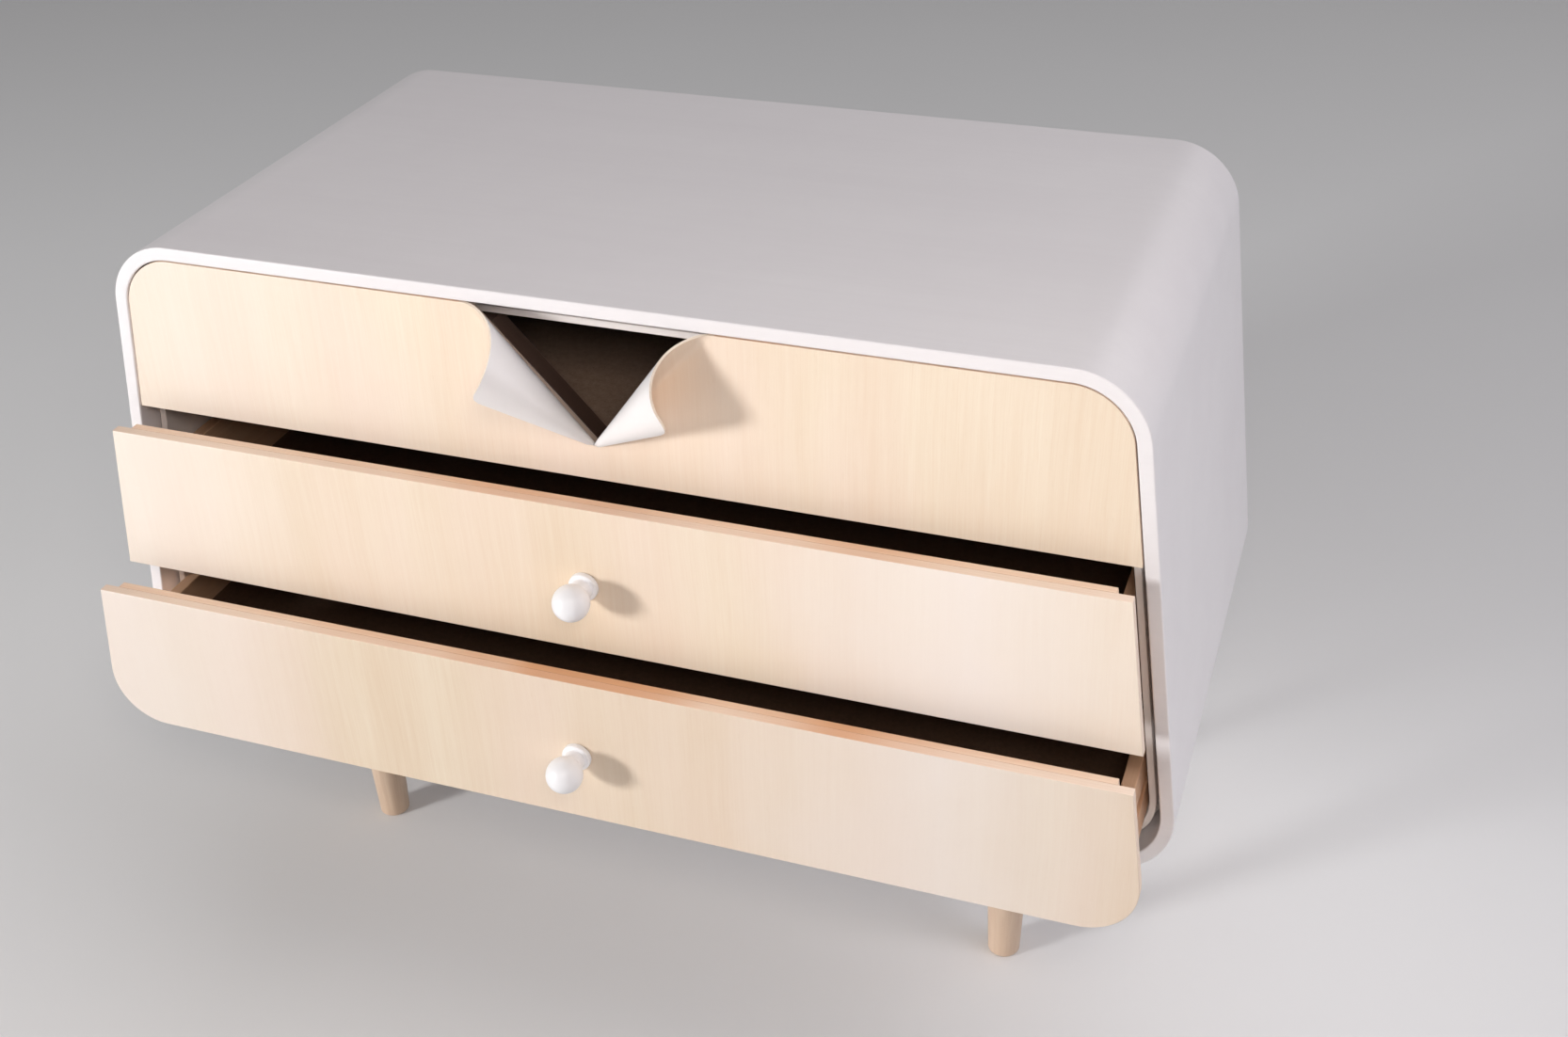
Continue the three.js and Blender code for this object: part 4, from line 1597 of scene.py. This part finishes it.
@dataclass
class Drawer:
    """One drawer: its front, the backing behind it and the box that it carries."""

    kit: Kit
    name: str
    top: float
    bottom: float
    pull: float
    box_bottom: float
    shift: Triple
    # Share of the veneer's colour left: painted shade, darker towards the bottom.
    tone: Triple = (1.0, 1.0, 1.0)
    # Zones of painted sheen on the front.
    painted_sheens: Tuple[PaintedSheen, ...] = ()
    flare: float = 0.0
    top_radius: float = 0.0
    bottom_radius: float = 0.0
    backing_top: Optional[float] = None
    backing_bottom: Optional[float] = None
    backing_thickness: float = 0.008
    backing_arris: float = 0.0008
    recess: float = 0.001
    edge_gap: float = 0.0014
    skin: float = 0.009
    gap: float = 0.0003
    board: float = 0.012
    box_drop: float = 0.052
    side_arris: float = 0.0012
    back_drop: float = 0.008
    back_arris: float = 0.001
    groove_depth: float = 0.006
    groove_height: float = 0.012
    housing: float = 0.005
    housing_rise: float = 0.0077
    housing_height: float = 0.0056
    front_arris: float = 0.0008
    knob_drop: float = 0.0035
    screw_drop: float = 0.03
    screw_rise: float = 0.075
    screw_shares: Tuple[float, ...] = (-0.86, -0.45, 0.45, 0.86)

    @property
    def body(self) -> str:
        """The body that the drawer is."""
        return f"drawer_{self.name}"

    @property
    def plane(self) -> float:
        """Where the rim's plane lies for this drawer, less how far it is pulled out."""
        return self.kit.plan.rim_y - self.pull

    @property
    def face(self) -> float:
        """Depth of the front's face."""
        return self.plane + self.recess

    @property
    def box_rear(self) -> float:
        """Depth of the box's rear end."""
        return self.plane + self.kit.plan.box_rear

    @property
    def backing_outline(self) -> Flared:
        """The backing board's outline.

        Returns:
            The outline, with round corners where the board has to clear the sleeve's.
        """
        plan = self.kit.plan
        front = self.face + self.skin + self.gap
        return Flared(
            self.top if self.backing_top is None else self.backing_top,
            self.bottom if self.backing_bottom is None else self.backing_bottom,
            plan.box_inset,
            front,
            front + self.backing_thickness,
            0.0 if self.backing_top is None else plan.backing_radius,
            0.0 if self.backing_bottom is None else plan.backing_radius,
        )

    def front_outline(self, ahead: float, depth: float) -> Flared:
        """A layer of the front, from one distance behind the face to another."""
        face, inset = self.face, self.kit.plan.wall + self.edge_gap
        return Flared(self.top, self.bottom, inset, face + ahead, face + depth, self.top_radius, self.bottom_radius)

    def veneer(self, name: str, follows: Follows = Follows.PLACE, painted_sheens: Tuple[PaintedSheen, ...] = ()) -> Timber:
        """The front's veneer, with this drawer's figure, its tone as painted shade and its zones of painted sheen."""
        return front_veneer(f"front_veneer_{name}", self.shift, self.tone, follows, painted_sheens)

    def edge(self, finish: PlyEdge) -> PlyEdge:
        """A ply edge with this drawer's share of heartwood."""
        return replace(finish, name=f"{finish.name}_{self.name}", flare=self.flare)

    def build(self) -> None:
        """Builds every piece of the drawer."""
        self.build_front()
        self.build_backing()
        self.build_sides()
        self.build_back()
        self.build_screws()

    def build_front(self) -> None:
        """Cuts the plain front, veneers its face and fits its knob."""
        board = panel(f"{self.name}_front", self.kit.plan, self.front_outline(0.0, self.skin))
        ease(board, self.front_arris, before(self.face))
        finishes = (self.veneer(self.name, painted_sheens=self.painted_sheens), self.edge(SKIN_EDGE))
        self.kit.add(board, self.body, "front_veneer", finishes, f"{self.body}_front", choose=face_or_edge)
        knob = Knob().model(f"{self.name}_knob")
        level = (self.top + self.bottom) / 2 - self.knob_drop
        stand(knob, (0.0, self.face - self.gap, level), (math.pi / 2, 0.0, 0.0))
        self.kit.add(knob, self.body, "gloss_white", (KNOB_WHITE,), f"{self.body}_knob")

    def build_backing(self) -> None:
        """Cuts the backing board."""
        cut = self.backing_outline
        board = panel(f"{self.name}_backing_board", self.kit.plan, cut)
        ease(board, self.backing_arris, behind(cut.rear), segments=2)
        finishes = (BEECH_ACROSS, self.edge(BACKING_EDGE))
        self.kit.add(board, self.body, "beech_ply", finishes, f"{self.body}_backing", choose=face_or_edge)

    def build_sides(self) -> None:
        """Planes the two grooved drawer sides, leaning with the body."""
        plan = self.kit.plan
        top, bottom = self.top - self.box_drop, self.box_bottom
        middle = (top + bottom) / 2
        low, high = middle - self.groove_height / 2, middle + self.groove_height / 2
        floor, ceiling = bottom + self.housing_rise, bottom + self.housing_rise + self.housing_height
        outer, inner = plan.box_inset, plan.box_inset + self.board
        groove, seat = outer + self.groove_depth, inner - self.housing
        points = [(bottom, outer), (low, outer), (low, groove), (high, groove), (high, outer), (top, outer)]
        points += [(top, inner), (ceiling, inner), (ceiling, seat), (floor, seat), (floor, inner), (bottom, inner)]
        front = self.backing_outline.rear + self.gap
        for hand, side in HANDS:
            section = [(side * plan.half_width(z, inset), z) for z, inset in points]
            board = strip(f"{self.name}_side_board_{hand}", section, front, self.box_rear)
            ease(board, self.side_arris, above(top))
            self.kit.add(board, self.body, "beech_ply", (BEECH_ALONG,), f"{self.body}_side_{hand}")

    def build_back(self) -> None:
        """Cuts the drawer's back, which stands on the bottom panel between the sides."""
        plan = self.kit.plan
        cut = Flared(
            self.top - self.box_drop - self.back_drop,
            self.box_bottom + self.housing_rise + self.housing_height,
            plan.box_inset + self.board + self.gap,
            self.box_rear - self.board,
            self.box_rear,
        )
        board = panel(f"{self.name}_back_board", plan, cut)
        ease(board, self.back_arris, above(cut.top))
        self.kit.add(board, self.body, "beech_ply", (BEECH_ACROSS,), f"{self.body}_back")

    def build_screws(self) -> None:
        """Drives the screws that hold the front to its backing board."""
        outline = self.backing_outline
        half = self.kit.plan.half_width(outline.top, outline.inset)
        levels = (outline.top - self.screw_drop, outline.bottom + self.screw_rise)
        places = [Vector((share * half, outline.rear, level)) for level in levels for share in self.screw_shares]
        Screw().drive(self.kit, places, f"{self.name}_front_screws", self.body)


@dataclass(frozen=True)
class Leaf:
    """One curled leaf of the peeled layer: which side, how far it lifts and how widely it rolls."""

    name: str
    side: int
    lift: float
    cone: float
    corner: float
    fold_sweep: float = math.radians(3)

    def crease_angle(self, half_angle: float) -> float:
        """Where the bend starts on the flat layer, as an angle from the slit."""
        return half_angle + (self.fold_sweep / self.lift) * math.tan(self.lift / 2)

    def ruling_length(self, from_slit: float, depth: float) -> float:
        """How far a ruling runs from the tip to the top edge or to the round corner at the slit.

        Args:
            from_slit: the ruling's angle from the slit on the flat layer.
            depth: the V's depth.

        Returns:
            The length.
        """
        if math.tan(from_slit) >= self.corner / depth:
            return depth / math.cos(from_slit)
        rise = depth - self.corner
        along = self.corner * math.sin(from_slit) + rise * math.cos(from_slit)
        return along + math.sqrt(max(0.0, along**2 - rise**2))


@dataclass
class PeeledDrawer(Drawer):
    """The top drawer, whose front is slit and peeled open in a V."""

    layer: float = 0.002
    peel_depth: float = 0.116
    half_angle: float = math.radians(42)
    leaves: Tuple[Leaf, ...] = (
        Leaf("left", -1, math.radians(35.4), math.radians(16.9), 0.007),
        Leaf("right", 1, math.radians(46.4), math.radians(14.3), 0.018),
    )
    fold_steps: int = 8
    curl_steps: int = 54
    rings: int = 14
    layer_arris: float = 0.0005
    core_arris: float = 0.0004
    core_margin: float = 0.001
    # Where the painted highlight lies on the V's rear arris.
    highlight_margin: float = 0.002
    highlight_slope: Tuple[float, float] = (0.15, 0.98)
    leaf_slot: int = 3
    same_ruling: float = 1 - 2e-6

    @property
    def tip(self) -> Vector:
        """The V's tip, on the front's face."""
        return Vector((0.0, self.face, self.top - self.peel_depth))

    @property
    def inner_notch(self) -> Notch:
        """The V through the core and the backing."""
        return Notch(self.tip, self.half_angle, self.half_angle)

    @property
    def creased_notch(self) -> Notch:
        """The wider V of the face layer, where the leaves bend away."""
        return Notch(self.tip, *(leaf.crease_angle(self.half_angle) for leaf in self.leaves))

    def build_front(self) -> None:
        """Cuts the face layer and the core, curls the leaves and joins them to the layer."""
        notch = self.creased_notch
        sheet = panel("peeled_layer", self.kit.plan, self.front_outline(0.0, self.layer), notch)
        margin = self.layer_arris
        ease(sheet, self.layer_arris, lambda edge: not notch.holds(edge_middle(edge), margin), segments=2)
        curled = self.veneer("leaf", Follows.SHEET)
        finishes = (self.veneer("top", painted_sheens=self.painted_sheens), SKIN_EDGE, LEAF_EDGE, curled, LEAF_WHITE)
        self.kit.wardrobe.dress(sheet, *finishes)
        lay_finish(sheet, face_or_edge)
        join([sheet, *(self.curl_leaf(leaf, finishes) for leaf in self.leaves)])
        self.kit.hang(sheet, self.body, "front_veneer", f"{self.body}_peeled_face")

        inner = self.inner_notch
        cut = self.front_outline(self.layer + self.gap, self.skin)
        core = panel("front_core_board", self.kit.plan, cut, inner)
        ease(core, self.core_arris, segments=2)
        self.kit.add(
            core,
            self.body,
            "beech_ply",
            (CORE_EDGE_SHADED, SKIN_EDGE),
            f"{self.body}_front_core",
            # The V-cut faces take the painted shade; the other edges take the pale edge.
            choose=lambda centre, _: 0 if inner.holds(centre, self.core_margin) else 1,
        )

    def curl_leaf(self, leaf: Leaf, finishes: Sequence[Finish]) -> Piece:
        """Rolls one leaf up from its crease as two cones about the V's tip.

        Args:
            leaf: the leaf's angles.
            finishes: the whole layer's finishes, in slot order.

        Returns:
            The leaf, as thick as the layer.
        """
        flat_angle = leaf.crease_angle(self.half_angle)
        crease = Vector((leaf.side * math.sin(flat_angle), 0.0, math.cos(flat_angle)))
        reach = leaf.ruling_length(flat_angle, self.peel_depth)
        points = [self.tip + crease * (reach * i / self.rings) for i in range(self.rings + 1)]
        sheet = draw_path(f"leaf_{leaf.name}", points)
        with Edit(sheet) as edit:
            rows = self.roll(edit, leaf, crease, flat_angle)
            for direction, swept in rows[1:]:
                if edit.pick(Element.VERT, lambda vert, along=direction: self.on_ruling(vert, along)):
                    size = leaf.ruling_length(flat_angle - swept, self.peel_depth) / reach
                    bpy.ops.transform.resize(value=(size, size, size), center_override=self.tip)
            edit.merge()
        self.mark_sheet(sheet, leaf, rows, flat_angle)
        self.face_hollow(sheet, crease)
        self.kit.wardrobe.dress(sheet, *finishes)
        lay_finish(sheet, lambda *_: self.leaf_slot)
        apply_modifier(
            sheet,
            "SOLIDIFY",
            thickness=self.layer,
            offset=-1.0,
            use_even_offset=False,
            material_offset=1,
            material_offset_rim=-1,
        )
        shade(sheet)
        return sheet

    def roll(self, edit: Edit, leaf: Leaf, crease: Vector, flat_angle: float) -> Rows:
        """Spins the crease's line through the fold and then through the curl.

        Args:
            edit: edit mode on the line.
            leaf: the leaf's angles.
            crease: the crease's direction.
            flat_angle: the crease's angle from the slit.

        Returns:
            Each ruling's direction, with how much of the flat layer lies between it and the crease.
        """
        ruling, normal = crease, Vector((0.0, -1.0, 0.0))
        rows: Rows = [(crease.copy(), 0.0)]
        stages = (
            (math.atan(leaf.fold_sweep / leaf.lift), leaf.fold_sweep, self.fold_steps),
            (leaf.cone, flat_angle - leaf.fold_sweep, self.curl_steps),
        )
        edit.all()
        for cone, sweep, steps in stages:
            axis = ruling * math.cos(cone) + normal * math.sin(cone)
            angle = leaf.side * sweep / math.sin(cone)
            bpy.ops.mesh.spin(steps=steps, angle=-angle, center=self.tip, axis=axis)
            start = rows[-1][1]
            for i in range(1, steps + 1):
                rows.append((Quaternion(axis, angle * i / steps) @ ruling, start + sweep * i / steps))
            turn = Quaternion(axis, angle)
            ruling, normal = turn @ ruling, turn @ normal
        return rows

    def on_ruling(self, vert: object, direction: Vector) -> bool:
        """True if a vertex lies on the ruling that leaves the tip in a direction."""
        arm = vert.co - self.tip
        return arm.length > SAME_LEVEL and arm.normalized().dot(direction) > self.same_ruling

    def mark_sheet(self, sheet: Piece, leaf: Leaf, rows: Rows, flat_angle: float) -> None:
        """Writes each vertex's place on the flat layer into the attribute that the veneer follows.

        Args:
            sheet: the rolled leaf.
            leaf: the leaf's angles.
            rows: each ruling's direction and its sweep from the crease.
            flat_angle: the crease's angle from the slit.
        """
        layer = sheet.data.attributes.new(Follows.SHEET.value, "FLOAT_VECTOR", "POINT")
        for vertex, value in zip(sheet.data.vertices, layer.data):
            arm = vertex.co - self.tip
            if arm.length < SAME_POINT:
                value.vector = self.tip
                continue
            swept = max(rows, key=lambda row: arm.normalized().dot(row[0]))[1]
            from_slit = flat_angle - swept
            value.vector = (
                leaf.side * arm.length * math.sin(from_slit),
                self.tip.y,
                self.tip.z + arm.length * math.cos(from_slit),
            )

    def face_hollow(self, sheet: Piece, crease: Vector) -> None:
        """Turns the leaf's faces so that they look to its hollow side.

        Args:
            sheet: the rolled leaf.
            crease: the crease's direction.
        """
        first = max(sheet.data.polygons, key=lambda face: (face.center - self.tip).normalized().dot(crease))
        if first.normal.y > 0:
            with Edit(sheet) as edit:
                edit.all()
                bpy.ops.mesh.flip_normals()

    def build_backing(self) -> None:
        """Cuts the thick dark board behind the front, with the same V and a paler stain painted on the V's rear arris
        as a highlight.
        """
        notch = self.inner_notch
        board = panel("top_backing_board", self.kit.plan, self.backing_outline, notch)
        ease(board, self.backing_arris)
        low, high = self.highlight_slope

        def lit_arris(centre: Vector, normal: Vector) -> int:
            """Chooses the paler stain, a painted highlight, for the V's rear arris."""
            return 1 if notch.holds(centre, self.highlight_margin) and low < normal.y < high else 0

        finishes = (DARK_BOARD, ARRIS_HIGHLIGHT)
        self.kit.add(board, self.body, "dark_stain", finishes, f"{self.body}_backing", choose=lit_arris)


# The studio


def towards(azimuth: float, elevation: float) -> Vector:
    """The unit vector to a place in degrees; azimuth 0 is in front, and positive to the right."""
    across, up = math.radians(azimuth), math.radians(elevation)
    return Vector((math.sin(across) * math.cos(up), -math.cos(across) * math.cos(up), math.sin(up)))


@dataclass(frozen=True)
class Light:
    """A light that looks at the chest."""

    name: str
    azimuth: float
    elevation: float
    power: float
    colour: Colour = (1.0, 1.0, 1.0)
    distance: float = 5.0
    target: Triple = (0.0, 0.0, 0.45)

    def hang(self, lamp: bpy.types.Light) -> None:
        """Hangs a lamp in the light's place.

        Args:
            lamp: the lamp's data, with its size set.
        """
        lamp.energy = self.power
        lamp.color = self.colour
        obj = bpy.data.objects.new(self.name, lamp)
        bpy.context.scene.collection.objects.link(obj)
        away = towards(self.azimuth, self.elevation)
        obj.location = Vector(self.target) + away * self.distance
        obj.rotation_euler = (-away).to_track_quat("-Z", "Y").to_euler()

    def place(self) -> None:
        """Makes the lamp and hangs it; each kind of light has its own way."""
        raise NotImplementedError(self.name)


@dataclass(frozen=True)
class SkyLight(Light):
    """A very wide, weak light from above that reaches the whole floor alike."""

    spread: float = 1.2

    def place(self) -> None:
        """Makes the lamp and hangs it."""
        lamp = bpy.data.lights.new(self.name, "SUN")
        lamp.angle = self.spread
        self.hang(lamp)


@dataclass(frozen=True)
class SoftLight(Light):
    """A square studio light."""

    size: float = 1.0

    def place(self) -> None:
        """Makes the lamp and hangs it."""
        lamp = bpy.data.lights.new(self.name, "AREA")
        lamp.shape = "SQUARE"
        lamp.size = self.size
        self.hang(lamp)


@dataclass
class Studio:
    """A pale floor, soft lights and the camera at the photograph's angle."""

    wardrobe: Wardrobe
    camera_place: Triple = (0.59143, -1.33203, 1.31655)
    camera_turn: Tuple[float, float, float, float] = (0.8650776, 0.47273307, 0.09234803, 0.14012864)
    lens: float = 41.677
    sensor: float = 36.0
    floor_size: float = 120.0
    world: Colour = (0.97, 0.98, 1.0)
    world_light: float = 0.02
    world_seen: float = 0.22
    lights: Tuple[Light, ...] = (
        SoftLight("key", -44, 11, 134.5, (1.0, 0.995, 0.995), 4.4, size=0.75),
        SoftLight("by_camera", 26, 36, 12.0, (1.0, 0.9, 0.83), 2.1, size=0.5),
        SoftLight("right", 80, 30, 23.0, (0.935, 0.925, 1.0), 2.8, size=1.6),
        SoftLight("rear_right", 140, 40, 17.0, (1.0, 0.98, 1.0), 4.0, size=3.0),
        SoftLight("left", -95, 35, 3.0, distance=3.5, size=2.5),
        SkyLight("sky", 160, 62, 0.78, (1.0, 0.985, 1.0)),
    )

    def build(self) -> None:
        """Sets up the stage."""
        self.build_camera()
        self.build_floor()
        for light in self.lights:
            light.place()
        self.build_world()
        bpy.context.scene.view_settings.view_transform = "Standard"

    def build_camera(self) -> None:
        """Stands the camera where the photograph was taken from."""
        data = bpy.data.cameras.new("camera")
        data.lens = self.lens
        data.sensor_width = self.sensor
        camera = bpy.data.objects.new("camera", data)
        bpy.context.scene.collection.objects.link(camera)
        camera.rotation_mode = "QUATERNION"
        camera.location = self.camera_place
        camera.rotation_quaternion = self.camera_turn
        bpy.context.scene.camera = camera

    def build_floor(self) -> None:
        """Lays the pale floor."""
        deselect()
        bpy.ops.mesh.primitive_plane_add(size=self.floor_size, location=(0.0, 0.0, 0.0))
        floor = rename(bpy.context.object, "floor")
        self.wardrobe.dress(floor, STUDIO_FLOOR)

    def build_world(self) -> None:
        """Surrounds the stage with a plain grey that barely lights it."""
        world = bpy.data.worlds.new("studio")
        world.use_nodes = True
        bpy.context.scene.world = world
        background = world.node_tree.nodes["Background"]
        graph = Graph(world.node_tree)
        seen = graph.add("ShaderNodeLightPath").outputs["Is Camera Ray"]
        graph.feed(self.world, background.inputs["Color"])
        graph.feed(graph.maths("MULTIPLY_ADD", seen, self.world_seen, self.world_light), background.inputs["Strength"])


def build_drawers(kit: Kit) -> None:
    """Builds the three drawers: the top one shut, the lower two pulled out as in the photograph.

    Args:
        kit: what the pieces are built with.
    """
    plan, fronts = kit.plan, FrontPlan(kit.plan)
    PeeledDrawer(
        kit,
        "top",
        *fronts.top,
        pull=0.0,
        box_bottom=fronts.top[1] + fronts.box_rise,
        shift=(0.37, 0.0, 0.11),
        # Painted sheen: paler veneer where the lights' reflection falls.
        painted_sheens=(PaintedSheen(-0.40, 0.26, 0.4),),
        top_radius=fronts.radius,
        backing_top=plan.backing_top,
        backing_thickness=0.020,
    ).build()
    Drawer(
        kit,
        "middle",
        *fronts.middle,
        pull=0.0436,
        box_bottom=fronts.middle[1] + fronts.box_rise,
        shift=(-0.21, 0.0, 0.53),
        # Painted shade: this front's veneer is toned a little darker.
        tone=(0.97, 0.97, 0.96),
        # Painted sheen: paler veneer where the lights' reflection falls.
        painted_sheens=(PaintedSheen(-0.46, 0.24, 0.55), PaintedSheen(0.33, 0.2, 0.9)),
        flare=0.5,
    ).build()
    Drawer(
        kit,
        "bottom",
        *fronts.bottom,
        pull=0.0882,
        box_bottom=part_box("drawer_bottom_side_left")[0].z,
        shift=(0.83, 0.0, -0.27),
        # Painted shade: the bottom front's veneer is toned darker still.
        tone=(0.88, 0.87, 0.85),
        # Painted sheen: paler veneer where the lights' reflection falls.
        painted_sheens=(PaintedSheen(-0.46, 0.26, 0.75), PaintedSheen(0.32, 0.18, 0.9)),
        flare=1.0,
        bottom_radius=fronts.radius,
        backing_bottom=plan.backing_bottom,
    ).build()


def main() -> None:
    """Builds the chest and its studio."""
    logging.basicConfig(level=logging.INFO, format="%(name)s %(message)s")
    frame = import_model()
    shell_low, shell_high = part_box("outer_shell")
    plan = BodyPlan(rim_y=shell_low.y, mid_z=(shell_low.z + shell_high.z) / 2)
    kit = Kit(plan, Wardrobe())
    Studio(kit.wardrobe).build()
    Carcass(kit, frame["nodes"]).build()
    build_drawers(kit)


if __name__ == "__main__":
    main()
